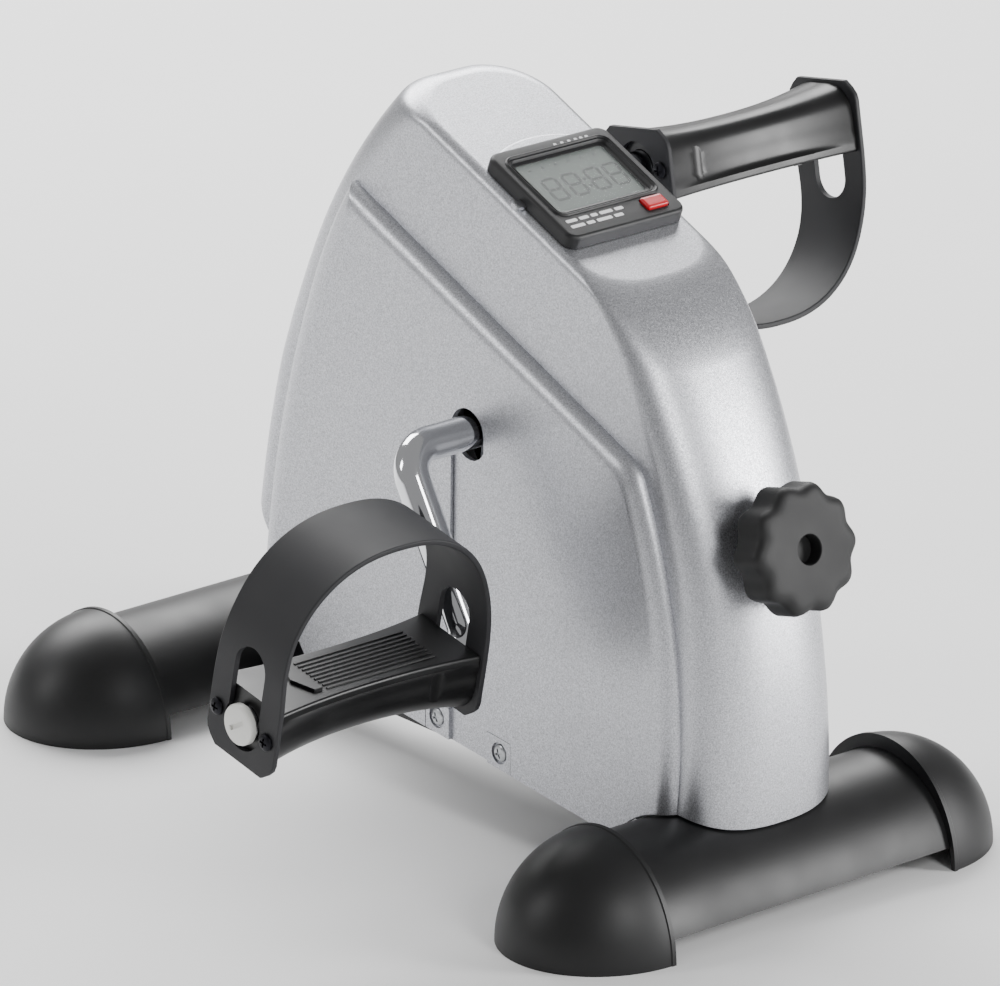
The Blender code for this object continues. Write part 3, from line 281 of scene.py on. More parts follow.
for end, sign in (("front", -1), ("rear", 1)):
    for name, side in (("left", -1), ("right", 1)):
        node = f"{end}_{name}_foot_cap"
        low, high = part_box(node)
        beam_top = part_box(f"{end}_foot_beam")[1].z
        length, half_width, height = high.x - low.x, (high.y - low.y) / 2, high.z
        inward = low.x if side > 0 else high.x
        place = placed((inward, (low.y + high.y) / 2, 0), 0 if side > 0 else math.pi, "Z")
        shape = quarter_dome(length, half_width, height, 30)
        cap = mesh_object(node.replace("foot_cap", "cap"), shape, place)
        seat = arc((0, 0), beam_top + 0.25 * MM, -0.03, math.pi + 0.03, 72)
        combine(cap, skin([[(x, y, z) for y, z in seat] for x in (-5 * MM, CAP_LAP)]), place=place)
        size = length - CAP_WALL - CAP_LAP, half_width - CAP_WALL - 1 * MM, beam_top - 1.5 * MM
        points, faces = quarter_dome(*size, 16, CAP_LAP - 0.5 * MM)
        hollow = [(x, y, z if z > 0.01 * MM else -2 * MM) for x, y, z in points]
        combine(cap, (hollow, faces), place=place)
        fit(cap, "base", foot_black, "black_casing_plastic", node)

# ---------------------------------------------------------------- steel frame
# A square tube joins the feet and carries a folded bracket with two upright plates, and a strap
# that holds the tension screw. The tube is powder coated; the pressed plates, bolts and collars
# are zinc plated, which leaves them bright but slightly cloudy.


def dress(material, *nodes):
    """Gives CAD nodes whose shape is already right their finish."""
    for node in nodes:
        shown = frame["nodes"][node]
        shown.data.materials.clear()
        shown.data.materials.append(material)


def plated_steel(name, colour, dull, roughness, spangle_mm):
    made, tree, shader = new_material(name)
    place = own_space(tree)
    spangle = add(tree, "TexVoronoi", {"Vector": place, "Scale": 1 / (spangle_mm * MM)})
    haze = add(tree, "TexNoise", {"Vector": place, "Scale": 160.0, "Detail": 4.0})
    tone = blend(tree, haze.outputs["Fac"], colour, dull)
    gloss = add(tree, "MapRange", {"Value": spangle.outputs["Distance"], "To Min": roughness - 0.06,
                                   "To Max": roughness + 0.12})
    bump = add(tree, "Bump", {"Height": haze.outputs["Fac"], "Strength": 0.12, "Distance": 0.05 * MM})
    wire(tree, shader, {"Metallic": 1.0, "Base Color": tone, "Roughness": gloss.outputs["Result"],
                        "Normal": bump.outputs["Normal"]})
    return made


zinc = plated_steel("zinc_plated_steel", "#c4c6c8", "#a8aaad", 0.30, 2.5)
dress(zinc, "front_foot_bolt", "rear_foot_bolt", "casing_bracket", "left_upright", "right_upright",
      "band_anchor_pin", "drum_pin", "left_shaft_collar", "right_shaft_collar", "tension_screw",
      "tension_nut", "tension_bracket", "sensor_magnet", "button_cell")
# Powder coat: an even orange peel, glossier than the moulded parts.
dress(moulded_plastic("powder_coated_steel", "#101012", "#161618", 0.30, 0.04, 1.6, 0.25), "base_rail")

# ---------------------------------------------------------------- bushes, drum and band
# The crank runs in two flanged nylon bushes. Between them a moulded drum is pinned to it, and a
# woven friction band round the drum gives the resistance. A reed switch counts a magnet's turns.

# Nylon: milky, slightly waxy, with a faint flow texture.
nylon = moulded_plastic("moulded_white_nylon", "#e4e4e0", "#d6d6d0", 0.38, 0.05, 1.2, 0.08)
dress(nylon, "left_bush", "right_bush")
black_abs = moulded_plastic("textured_black_abs", "#08080a", "#111114", 0.50, 0.06, 0.6, 0.16)
dress(black_abs, "brake_drum", "reed_sensor")

made, tree, shader = new_material("woven_friction_webbing")
weave_at = own_space(tree)
warp = add(tree, "TexWave", {"Vector": weave_at, "Scale": 330.0, "Distortion": 0.4}, bands_direction="X")
weft = add(tree, "TexWave", {"Vector": weave_at, "Scale": 260.0, "Distortion": 0.6}, bands_direction="Z")
threads = add(tree, "Math", {0: warp.outputs["Fac"], 1: weft.outputs["Fac"]}, operation="MULTIPLY")
dye = blend(tree, threads.outputs["Value"], "#3b352a", "#6f6552")
nap = add(tree, "Bump", {"Height": threads.outputs["Value"], "Strength": 0.6, "Distance": 0.3 * MM})
wire(tree, shader, {"Base Color": dye, "Normal": nap.outputs["Normal"], "Roughness": 0.9})
dress(made, "brake_band")

# ---------------------------------------------------------------- crank
# One 14 mm steel rod bent cold into two opposite arms and two spindles, then nickel and chrome
# plated. It turns in the bushes and passes through the round ends of the casing's side slots.

ROD_RADIUS, ROD_CHAMFER = 7.0 * MM, 0.8 * MM
ARM_X = 73.5 * MM
BEND_RADIUS = 13.0 * MM
CRANK_AXIS = Vector((0, -34.0 * MM, 165.5 * MM))
THROW = 84.0 * MM
ARM_ANGLE = math.radians(239.0)
arm = Vector((0, THROW * math.cos(ARM_ANGLE), THROW * math.sin(ARM_ANGLE)))
spindle_at = {"left": CRANK_AXIS + arm, "right": CRANK_AXIS - arm}
shaft_low, shaft_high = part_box("crankshaft")


def along_x(point, x):
    return Vector((x, point.y, point.z))


left_pin, right_pin = spindle_at["left"], spindle_at["right"]
corners = [along_x(left_pin, shaft_low.x), along_x(left_pin, -ARM_X), along_x(CRANK_AXIS, -ARM_X),
           along_x(CRANK_AXIS, ARM_X), along_x(right_pin, ARM_X), along_x(right_pin, shaft_high.x)]
route = [corners[0], corners[0] + Vector((ROD_CHAMFER, 0, 0))]
for before, at, after in zip(corners, corners[1:-1], corners[2:]):
    a, b = (before - at).normalized(), (after - at).normalized()
    half = a.angle(b) / 2
    centre = at + (a + b).normalized() * (BEND_RADIUS / math.sin(half))
    start = at + a * (BEND_RADIUS / math.tan(half)) - centre
    finish_at = at + b * (BEND_RADIUS / math.tan(half)) - centre
    hinge = start.cross(finish_at).normalized()
    sweep = start.angle(finish_at)
    route += [centre + Matrix.Rotation(sweep * k / 20, 3, hinge) @ start for k in range(21)]
route += [corners[-1] - Vector((ROD_CHAMFER, 0, 0)), corners[-1]]
rings, side_way = [], Vector((0, 1, 0))
for i, p in enumerate(route):
    ahead = (route[min(i + 1, len(route) - 1)] - route[max(i - 1, 0)]).normalized()
    side_way = (side_way - ahead * side_way.dot(ahead)).normalized()
    up_way = ahead.cross(side_way)
    radius = ROD_RADIUS - (ROD_CHAMFER if i in (0, len(route) - 1) else 0)
    rings.append([p + radius * (math.cos(a) * side_way + math.sin(a) * up_way) for a in circle(48)])
crank_rod = mesh_object("crank_rod", skin(rings))
pin_hole = turned(mm((0, -20), (2.3, -20), (2.3, 20), (0, 20)), 24)
combine(crank_rod, pin_hole, place=Matrix.Translation(CRANK_AXIS + Vector((5.7 * MM, 0, 0))))

# Chrome over nickel: a hard mirror, with the faint haze and fine polishing lines of cheap plating.
chrome, tree, shader = new_material("bright_chrome_plate")
rod_at = own_space(tree)
polish = add(tree, "TexNoise", {"Vector": rod_at, "Scale": 420.0, "Detail": 3.0, "Distortion": 0.4})
haze = add(tree, "TexNoise", {"Vector": rod_at, "Scale": 45.0, "Detail": 2.0})
gloss = add(tree, "MapRange", {"Value": haze.outputs["Fac"], "From Min": 0.3, "From Max": 0.7,
                               "To Min": 0.05, "To Max": 0.13})
bump = add(tree, "Bump", {"Height": polish.outputs["Fac"], "Strength": 0.04, "Distance": 0.05 * MM})
wire(tree, shader, {"Base Color": linear("#e6e7ea"), "Metallic": 1.0,
                    "Roughness": gloss.outputs["Result"], "Normal": bump.outputs["Normal"]})
fit(crank_rod, "crank", chrome, "chromed_steel", "crankshaft")

# ---------------------------------------------------------------- casing
# One tall shell moulded in ABS, open underneath, that drops over the frame. Its sloping top holds
# the counter, and a raised panel on each side has a slot for the crank. It is painted metallic
# silver, so its flat faces glitter softly and its rolled edges catch the light.

WALL = 2.6 * MM
BODY_HALF = 33.8 * MM
PANEL_HALF = 40.5 * MM
SLOPE = math.radians(23.1)
TOP_Z = 285.0 * MM
FRONT_RADIUS = 296.5 * MM
FRONT_CENTRE = (121.5 * MM, 61.0 * MM)
CROWN_RADIUS = 236.0 * MM
CROWN_CENTRE = (-139.5 * MM, 125.0 * MM)
REAR_JOIN = math.radians(22.4)
REAR_RADIUS = 500.0 * MM
REAR_CENTRE = tuple(c - (REAR_RADIUS - CROWN_RADIUS) * f(REAR_JOIN)
                    for c, f in zip(CROWN_CENTRE, (math.cos, math.sin)))
NOSE_DEPTH = 21.5 * MM
REAR_CORNER, CORNER_LOSS, CORNER_DEPTH = 25.0 * MM, 13.0 * MM, 150.0 * MM
SIDE_FILLET, FRONT_FILLET, REAR_FILLET = 4.6 * MM, 16.0 * MM, 9.0 * MM
PANEL_DROP, PANEL_FRONT, PANEL_REAR = 49.2 * MM, 20.0 * MM, 16.0 * MM
PANEL_ROLL, PANEL_REAR_ROLL = 8.0 * MM, 11.0 * MM
FLARE, FLARE_TOP, NOSE_START, SPREAD = 3.0 * MM, 110.0 * MM, -100.0 * MM, 0.11
up_slope = (math.cos(SLOPE), math.sin(SLOPE))
off_slope = (-math.sin(SLOPE), math.cos(SLOPE))


def cross(level, centre, radius, sign):
    """How far up the slope a plane this far below the sloping top meets a profile arc."""
    q = (-level * off_slope[0] - centre[0], TOP_Z - level * off_slope[1] - centre[1])
    along = q[0] * up_slope[0] + q[1] * up_slope[1]
    return -along + sign * math.sqrt(along * along - q[0] ** 2 - q[1] ** 2 + radius * radius)


def on_slope(s, level):
    return s * up_slope[0] - level * off_slope[0], TOP_Z + s * up_slope[1] - level * off_slope[1]


def cross_rear(level, inset):
    radius = CROWN_RADIUS - inset
    s = cross(level, CROWN_CENTRE, radius, 1)
    if on_slope(s, level)[1] > CROWN_CENTRE[1] + radius * math.sin(REAR_JOIN):
        return s
    return cross(level, REAR_CENTRE, REAR_RADIUS - inset, 1)


def fillet(depth, radius):
    return radius - math.sqrt(radius**2 - (radius - depth) ** 2) if depth < radius else 0.0


def flared(x, y, z):
    """The nose widens and opens out slightly towards its lower edge."""
    forward = min(max((NOSE_START - y) / (60 * MM), 0.0), 1.0)
    low = min(max((FLARE_TOP - z) / FLARE_TOP, 0.0), 1.0)
    return x * (1 + SPREAD * forward * low**1.3), y - FLARE * forward * low**1.3, z


def casing_form(wall, steps):
    """The shell's main form, smaller all round by a wall, as rings parallel to its sloping top."""
    fillets = [max(r - wall, 2 * MM) for r in (SIDE_FILLET, FRONT_FILLET, REAR_FILLET)]
    depths = [FRONT_FILLET * (1 - math.cos(math.pi / 2 * k / 14)) for k in range(15)]
    depths += [FRONT_FILLET + (TOP_Z - FRONT_FILLET) * (k / 40) for k in range(1, 41)]
    rings = []
    for depth in depths:
        level = depth + wall
        front = cross(level, FRONT_CENTRE, FRONT_RADIUS - wall, -1) + fillet(depth, fillets[1])
        rear = cross_rear(level, wall) - fillet(depth, fillets[2])
        half = BODY_HALF - wall - fillet(depth, fillets[0])
        nose = NOSE_DEPTH - wall / 2
        corner = REAR_CORNER - CORNER_LOSS * min(depth / CORNER_DEPTH, 1.0) - wall / 2
        corner_x = min(corner, half - 2 * MM)
        ring = []
        for k in range(steps + 1):
            a = math.pi / 2 * k / steps
            ring.append((half * math.sin(a) ** 0.8, front + nose * (1 - math.cos(a) ** 0.8)))
        for k in range(steps):
            a = math.pi / 2 * k / (steps - 1)
            ring.append((half - corner_x * (1 - math.cos(a)), rear - corner * (1 - math.sin(a))))
        ring += [(-x, s) for x, s in reversed(ring) if x > 0.001 * MM]
        rings.append([flared(x, *on_slope(s, level)) for x, s in ring])
    return skin(rings)


def panel_outline(edge_in, rear_in):
    """The raised side panel's edge in YZ: front arc, ridge parallel to the sloping top, then the back."""
    level = PANEL_DROP + edge_in
    radius = FRONT_RADIUS - PANEL_FRONT - edge_in
    kink = on_slope(cross(level, FRONT_CENTRE, radius, -1), level)
    top = on_slope(cross_rear(level, rear_in), level)
    ease = 7 * MM
    first = math.pi + math.asin((FRONT_CENTRE[1] - 1 * MM) / radius)
    last = math.atan2(kink[1] - FRONT_CENTRE[1], kink[0] - FRONT_CENTRE[0]) + ease / radius
    if last < 0:
        last += 2 * math.pi
    points = arc(FRONT_CENTRE, radius, first, last, 40)
    before, after = points[-1], (kink[0] + ease * up_slope[0], kink[1] + ease * up_slope[1])
    for k in range(1, 8):
        t = k / 8
        weights = (1 - t) ** 2, 2 * t * (1 - t), t * t
        bend = list(zip(weights, (before, kink, after)))
        points.append(tuple(sum(w * p[i] for w, p in bend) for i in (0, 1)))
    points += [tuple(a + (b - a) * k / 12 for a, b in zip(after, top)) for k in range(12)]
    start = math.atan2(top[1] - CROWN_CENTRE[1], top[0] - CROWN_CENTRE[0])
    points += arc(CROWN_CENTRE, CROWN_RADIUS - rear_in, start, REAR_JOIN, 10)[:-1]
    low = math.asin((1 * MM - REAR_CENTRE[1]) / (REAR_RADIUS - rear_in))
    return points + arc(REAR_CENTRE, REAR_RADIUS - rear_in, REAR_JOIN, low, 30)


def side_panel(side, wall):
    rings = []
    for k in range(-1, 11):
        a = max(k, 0) / 10 * math.pi / 2
        x = BODY_HALF - 4 * MM - wall if k < 0 else BODY_HALF - wall + (PANEL_HALF - BODY_HALF) * math.sin(a)
        roll = 1 - math.cos(a)
        outline = panel_outline(PANEL_ROLL * roll + wall, PANEL_REAR + PANEL_REAR_ROLL * roll + wall)
        rings.append([(side * x, y, z) for y, z in outline])
    return skin(rings)


casing = mesh_object("silver_casing", casing_form(0, 24))
for side in (-1, 1):
    combine(casing, side_panel(side, 0), "UNION")

# The low crescent moulded above the counter, which guides a finger to its upper edge.
DISPLAY_Y = -56.5 * MM
counter_place = placed((0, DISPLAY_Y, TOP_Z + DISPLAY_Y * math.tan(SLOPE)), SLOPE, "X")
rings = []
for height, inset in ((-1.0, 0.0), (0.6, 0.0), (1.1, 0.3), (1.3, 1.0)):
    shape = arc((0, 0), 1.0, 0.62, math.pi - 0.62, 40)
    rings.append([((29 - inset) * u * MM, (19 + (17 - inset) * v) * MM, height * MM) for u, v in shape])
combine(casing, skin(rings), "UNION", counter_place)
combine(casing, casing_form(WALL, 16))
for side in (-1, 1):
    combine(casing, side_panel(side, WALL))

# The lower edge: a saddle over the front foot, a straight run, then the cut-back rear corner.
LOW_FRONT, LOW_REAR, BACK_END = (-102 * MM, 24 * MM), (68 * MM, 42.1 * MM), (116 * MM, 110 * MM)
foot_low, foot_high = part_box("front_foot_beam")
foot_y, saddle = (foot_low.y + foot_high.y) / 2, foot_high.z + 0.9 * MM
rise = (LOW_REAR[1] - LOW_FRONT[1]) / (LOW_REAR[0] - LOW_FRONT[0])


def edge_height(y):
    return LOW_FRONT[1] + (y - LOW_FRONT[0]) * rise


angle = math.radians(35)
for _ in range(20):
    angle = math.asin(edge_height(foot_y + saddle * math.cos(angle)) / saddle)
under = arc((foot_y, 0), saddle, math.pi, angle, 60)
AHEAD, BEHIND, BELOW = -230 * MM, 150 * MM, -120 * MM
under += [LOW_REAR, BACK_END, (BEHIND, BACK_END[1] + 20 * MM), (BEHIND, BELOW), (AHEAD, BELOW),
          (AHEAD, 0.0)]
combine(casing, skin([[(x, y, z) for y, z in under] for x in (-0.06, 0.06)]))

# The crank slots with the two screw ears at the foot of each, the counter's opening and the
# hole for the tension screw.
SLOT_TOP, SLOT_LOW, SLOT_END, EAR, EAR_HIGH = 9.8 * MM, 12.2 * MM, 10 * MM, 14 * MM, 13.5 * MM
slot = arc((CRANK_AXIS.y, CRANK_AXIS.z), SLOT_TOP, 0, math.pi, 48)
slot += [(CRANK_AXIS.y - SLOT_LOW, SLOT_END), (CRANK_AXIS.y + SLOT_LOW, SLOT_END)]
ear_ends = CRANK_AXIS.y - SLOT_LOW - EAR, CRANK_AXIS.y + SLOT_LOW + EAR
tops = [(y, edge_height(y) + EAR_HIGH) for y in ear_ends]
ears = [(ear_ends[0], SLOT_END), *tops, (ear_ends[1], SLOT_END)]
for side in (-1, 1):
    for outline in (slot, ears):
        span = sorted((side * 30 * MM, side * 50 * MM))
        combine(casing, skin([[(x, y, z) for y, z in outline] for x in span]))


def rounded(size, radius, steps=10, at=(0.0, 0.0)):
    """A rectangle with round corners."""
    a, b = size[0] / 2 - radius, size[1] / 2 - radius
    out = []
    for k, (sx, sy) in enumerate(((1, 1), (-1, 1), (-1, -1), (1, -1))):
        out += arc((at[0] + sx * a, at[1] + sy * b), radius, k * math.pi / 2, (k + 1) * math.pi / 2,
                   steps)
    return out


def plate(outline, low, high):
    return skin([[(x, y, h) for x, y in outline] for h in (low, high)])


combine(casing, plate(rounded((47.4 * MM, 41.4 * MM), 3 * MM), -20 * MM, 10 * MM), place=counter_place)
KNOB_TILT = math.radians(14.0)
KNOB_FACE = Vector((0, -189.5 * MM, 150.5 * MM))
knob_place = placed(KNOB_FACE, math.pi / 2 - KNOB_TILT, "X")
screw_hole = turned(mm((0, -80), (5.2, -80), (5.2, -10), (0, -10)), 40)
combine(casing, screw_hole, place=knob_place)

# Metallic paint: aluminium flake in a clear binder. The flake is drawn coarser than its real
# 0.03 mm so that its glitter shows as a fine grain.
FLAKE_MM = 0.55
silver, tree, shader = new_material("metallic_painted_abs")
paint_at = own_space(tree)
flake = add(tree, "TexNoise", {"Vector": paint_at, "Scale": 1 / (FLAKE_MM * MM), "Detail": 2.0,
                               "Roughness": 0.75})
sparkle = add(tree, "TexVoronoi", {"Vector": paint_at, "Scale": 1 / (0.9 * MM)})
tone = ramp(tree, flake.outputs["Fac"], (0.30, "#96979c"), (0.70, "#dcdde2"))
spots = add(tree, "MapRange", {"Value": sparkle.outputs["Distance"], "From Min": 0.0, "From Max": 0.8,
                               "To Min": 0.30, "To Max": 0.44})
bump = add(tree, "Bump", {"Height": flake.outputs["Fac"], "Strength": 0.22, "Distance": 0.10 * MM})
wire(tree, shader, {"Metallic": 0.88, "Coat Weight": 0.25, "Coat Roughness": 0.22, "Base Color": tone,
                    "Roughness": spots.outputs["Result"], "Normal": bump.outputs["Normal"]})
fit(casing, "base", silver, "silver_plastic", "casing", sharp=28)

# ---------------------------------------------------------------- slot covers
# A strip of the same painted ABS closes each slot below the crank. Its two ears lie over the
# casing's and are screwed through to the bracket inside.

dress(silver, "left_slot_cover", "right_slot_cover")

# ---------------------------------------------------------------- cover screws
# Pan-head cross-recess screws, zinc plated, in round sinks in the ears.

# A screw's head radius, head height, shank radius and length.
COVER_SCREW = (3.6 * MM, 1.6 * MM, 1.7 * MM, 9 * MM)
RECESS_TURN = 0.4


def cross_screw(head, height, shank, length):
    """A pan-head screw along +z, its head's underside at z = 0, as shapes to join and to cut."""
    bends = [math.pi / 2 * k / 8 for k in range(8)]
    crown = [(head * math.cos(a), height * (0.35 + 0.65 * math.sin(a))) for a in bends]
    tip = [(0, -length), (shank * 0.3, -length), (shank, -length + shank * 1.5), (shank, 0)]
    body = turned([*tip, (head, 0), *crown, (0, height)], 40)
    reach, half = head * 0.56, head * 0.13
    plus = [(reach, half), (half, half), (half, reach), (-half, reach), (-half, half), (-reach, half)]
    return body, plate(plus + [(-x, -y) for x, y in plus], height * 0.45, height + 2 * MM)


def screw_at(name, node, size, place, body, material, slot):
    shank, recess = cross_screw(*size)
    made = mesh_object(name, shank, place)
    combine(made, recess, place=place)
    fit(made, body, material, slot, node)


for name, side in (("left", -1), ("right", 1)):
    for spot in ("front", "rear"):
        node = f"{name}_{spot}_cover_screw"
        low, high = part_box(node)
        head_top = high.x if side > 0 else low.x
        at = Vector((head_top - side * COVER_SCREW[1], (low.y + high.y) / 2, (low.z + high.z) / 2))
        place = placed(at, side * math.pi / 2, "Y") @ Matrix.Rotation(RECESS_TURN, 4, "Z")
        screw_at(f"{name}_{spot}_casing_screw", node, COVER_SCREW, place, "base", zinc, "zinc_steel")

# ---------------------------------------------------------------- counter
# A small clip-in counter. The black ABS case has a raised bead round a sunk window, a skirt that
# snaps into the casing, and holds a clear lens, the liquid crystal glass, its board and a cell.

CASE_HIGH = 6.2
WINDOW_UP = 3.9


def ring_at(width, length, radius, height, up=0.0):
    outline = rounded((width * MM, length * MM), radius * MM, 12, (0, up * MM))
    return [(x, y, height * MM) for x, y in outline]


def plates(outlines, low, high):
    """Several thin plates as one shape."""
    points, faces = [], []
    for outline in outlines:
        more, sides = plate(outline, low, high)
        faces += [tuple(k + len(points) for k in side) for side in sides]
        points += more
    return points, faces


# Each ring's width, length, corner radius, height and shift up the slope, in millimetres.
levels = [(60.0, 56.0, 5.0, 0.3, 0), (60.0, 56.0, 5.0, 4.6, 0), (59.6, 55.6, 4.8, 5.3, 0),
          (58.6, 54.6, 4.3, 5.9, 0), (57.0, 53.0, 3.5, 6.2, 0),
          (53.4, 38.6, 5.0, 6.2, WINDOW_UP), (52.9, 38.1, 4.8, 6.65, WINDOW_UP),
          (52.0, 37.2, 4.4, 6.9, WINDOW_UP), (51.1, 36.3, 4.0, 6.65, WINDOW_UP),
          (50.6, 35.8, 3.8, 6.1, WINDOW_UP), (49.4, 34.6, 3.4, 5.95, WINDOW_UP),
          (48.9, 34.1, 3.2, 6.2, WINDOW_UP), (48.3, 33.5, 2.9, 5.9, WINDOW_UP),
          (47.6, 32.8, 2.6, 5.1, WINDOW_UP), (45.0, 30.0, 2.0, 4.75, WINDOW_UP)]
case = mesh_object("counter_case", skin([ring_at(*row) for row in levels]), counter_place)
combine(case, plate(rounded((46 * MM, 40 * MM), 2.5 * MM), -7 * MM, 2 * MM), "UNION", counter_place)
combine(case, plate(rounded((42 * MM, 36 * MM), 1.5 * MM), -20 * MM, 2.5 * MM), place=counter_place)
combine(case, plate(rounded((54 * MM, 50 * MM), 2 * MM), 1.0 * MM, 4.3 * MM), place=counter_place)
combine(case, plate(rounded((45 * MM, 30 * MM), 2 * MM, at=(0, WINDOW_UP * MM)), 4 * MM, 9 * MM),
        place=counter_place)
BUTTON = (10.6 * MM, 6.3 * MM)
BUTTON_AT = (18 * MM, -20.2 * MM)
BUTTON_GAP = 0.7 * MM
key_hole = rounded((BUTTON[0] + BUTTON_GAP, BUTTON[1] + BUTTON_GAP), 1.1 * MM, at=BUTTON_AT)
combine(case, plate(key_hole, 3 * MM, 10 * MM), place=counter_place)
fit(case, "base", black_abs, "black_plastic", "display_housing", sharp=40)

# The wire clip at the case's left edge that presses it into the opening, and the small marks
# printed above and below the window: plain bars that stand for the settings.
clip_edge = rounded((5.5 * MM, 4.4 * MM), 1.2 * MM, 6, (-32 * MM, 2 * MM))
clip = mesh_object("counter_clip", plate(clip_edge, 0.35 * MM, 1.7 * MM), counter_place)
fit(clip, "base", zinc, "zinc_steel")
# Screen ink: flat, opaque, and thin enough at its edges to show the case's texture.
ink, tree, shader = new_material("white_screen_ink")
ink_at = own_space(tree)
thin = add(tree, "TexNoise", {"Vector": ink_at, "Scale": 2500.0, "Detail": 2.0})
shade = blend(tree, thin.outputs["Fac"], "#f0f0f0", "#cfcfd2")
wire(tree, shader, {"Base Color": shade, "Roughness": 0.6})
bars = [(x, 23.6, 1.5) for x in (2.0, 5.6, 9.2, 12.6, 15.4, 18.2)]
for row, start in ((-18.2, -25.4), (-21.6, -25.4)):
    for width in ((5.4, 4.6, 3.2, 6.4, 4.2) if row > -20 else (6.8, 3.8, 7.6, 4.4)):
        bars.append((start + width / 2, row, width))
        start += width + 1.3
marks = [rounded((width * MM, 1.7 * MM), 0.5 * MM, 4, (x * MM, y * MM)) for x, y, width in bars]
marks = plates(marks, (CASE_HIGH - 0.05) * MM, (CASE_HIGH + 0.04) * MM)
marks = mesh_object("printed_marks", marks, counter_place)
fit(marks, "base", ink, "nylon")

# ---------------------------------------------------------------- display
# Liquid crystal glass on the board: a grey-green reflector under a clear acrylic lens. It is off,
# so its four numerals, colon and pointers show only as faint dark segments.

glass_edge = rounded((48 * MM, 33 * MM), 0.5 * MM, 4, (0, WINDOW_UP * MM))
glass = mesh_object("display_glass", plate(glass_edge, 2.4 * MM, 4.0 * MM), counter_place)
lcd, tree, shader = new_material("liquid_crystal_glass")
glass_at = own_space(tree)
grain = add(tree, "TexNoise", {"Vector": glass_at, "Scale": 1800.0, "Detail": 2.0})
cloud = add(tree, "TexNoise", {"Vector": glass_at, "Scale": 30.0, "Detail": 1.0})
mixed = add(tree, "Math", {0: grain.outputs["Fac"], 1: cloud.outputs["Fac"]}, operation="MULTIPLY")
tone = blend(tree, mixed.outputs["Value"], "#4d5753", "#626c67")
wire(tree, shader, {"Base Color": tone, "Roughness": 0.55})
fit(glass, "base", lcd, "lcd_glass", "lcd_module")

DIGIT = (6.6, 12.4)
STROKE, GAP, SLANT = 1.35, 0.25, 0.07
DIGITS_AT, DIGITS_UP, POINTERS_UP = (-13.8, -3.6, 7.6, 17.2), WINDOW_UP - 1.6, WINDOW_UP + 11.6


def numeral(x, y):
    """The seven bars of one numeral, as outlines in millimetres."""
    wide, tall, half = DIGIT[0] / 2, DIGIT[1] / 2, STROKE / 2
    lines = [((-wide, tall), (wide, tall)), ((wide, 0), (wide, tall)), ((wide, -tall), (wide, 0)),
             ((-wide, -tall), (wide, -tall)), ((-wide, -tall), (-wide, 0)),
             ((-wide, 0), (-wide, tall)), ((-wide, 0), (wide, 0))]
    out = []
    for (ax, ay), (bx, by) in lines:
        length = math.hypot(bx - ax, by - ay)
        ux, uy = (bx - ax) / length, (by - ay) / length
        far = length - GAP
        stations = ((GAP, 0), (GAP + half, half), (far - half, half), (far, 0),
                    (far - half, -half), (GAP + half, -half))
        spots = [(ax + ux * s - uy * t, ay + uy * s + ux * t) for s, t in stations]
        out.append([(x + px + SLANT * py, y + py) for px, py in spots])
    return out


outlines = [bar for x in DIGITS_AT for bar in numeral(x, DIGITS_UP)]
square, triangle = ((1, 1), (-1, 1), (-1, -1), (1, -1)), ((-0.8, -0.7), (0.8, -0.7), (0.0, 0.8))
outlines += [[(2.2 + 0.7 * sx, DIGITS_UP + y + 0.7 * sy) for sx, sy in square] for y in (-2.8, 1.4)]
outlines += [[(-17 + 6.6 * k + dx, POINTERS_UP + dy) for dx, dy in triangle] for k in range(6)]
drawn = plates([mm(*outline) for outline in outlines], 3.98 * MM, 4.06 * MM)
segments = mesh_object("display_segments", drawn, counter_place)
# Segments that are not driven: a shade darker than the glass behind them.
idle, tree, shader = new_material("liquid_crystal_segments")
grain = add(tree, "TexNoise", {"Vector": own_space(tree), "Scale": 1500.0})
tone = blend(tree, grain.outputs["Fac"], "#1f2623", "#29302d")
wire(tree, shader, {"Base Color": tone, "Roughness": 0.55})
fit(segments, "base", idle, "lcd_glass")

lens_edge = rounded((46.4 * MM, 31.4 * MM), 2.2 * MM, at=(0, WINDOW_UP * MM))
lens = mesh_object("clear_lens", plate(lens_edge, 4.35 * MM, 4.7 * MM), counter_place)
acrylic, tree, shader = new_material("clear_acrylic")
smear = add(tree, "TexNoise", {"Vector": own_space(tree), "Scale": 60.0, "Detail": 3.0})
gloss = add(tree, "MapRange", {"Value": smear.outputs["Fac"], "To Min": 0.10, "To Max": 0.22})
wire(tree, shader, {"Roughness": gloss.outputs["Result"], "Base Color": linear("#e8ecea"), "IOR": 1.49,
                    "Alpha": 0.05})
fit(lens, "base", acrylic, "clear_lens", "display_lens")

# Glass-fibre board: green solder mask over a faint weave.
board, tree, shader = new_material("green_solder_mask")
weave = add(tree, "TexWave", {"Vector": own_space(tree), "Scale": 400.0, "Distortion": 1.0})
tone = blend(tree, weave.outputs["Fac"], "#0f5a2b", "#17703a")
wire(tree, shader, {"Base Color": tone, "Roughness": 0.3})
dress(board, "circuit_board")

# ---------------------------------------------------------------- reset button
# A glossy red ABS key with softened edges that stands a little proud of the case.

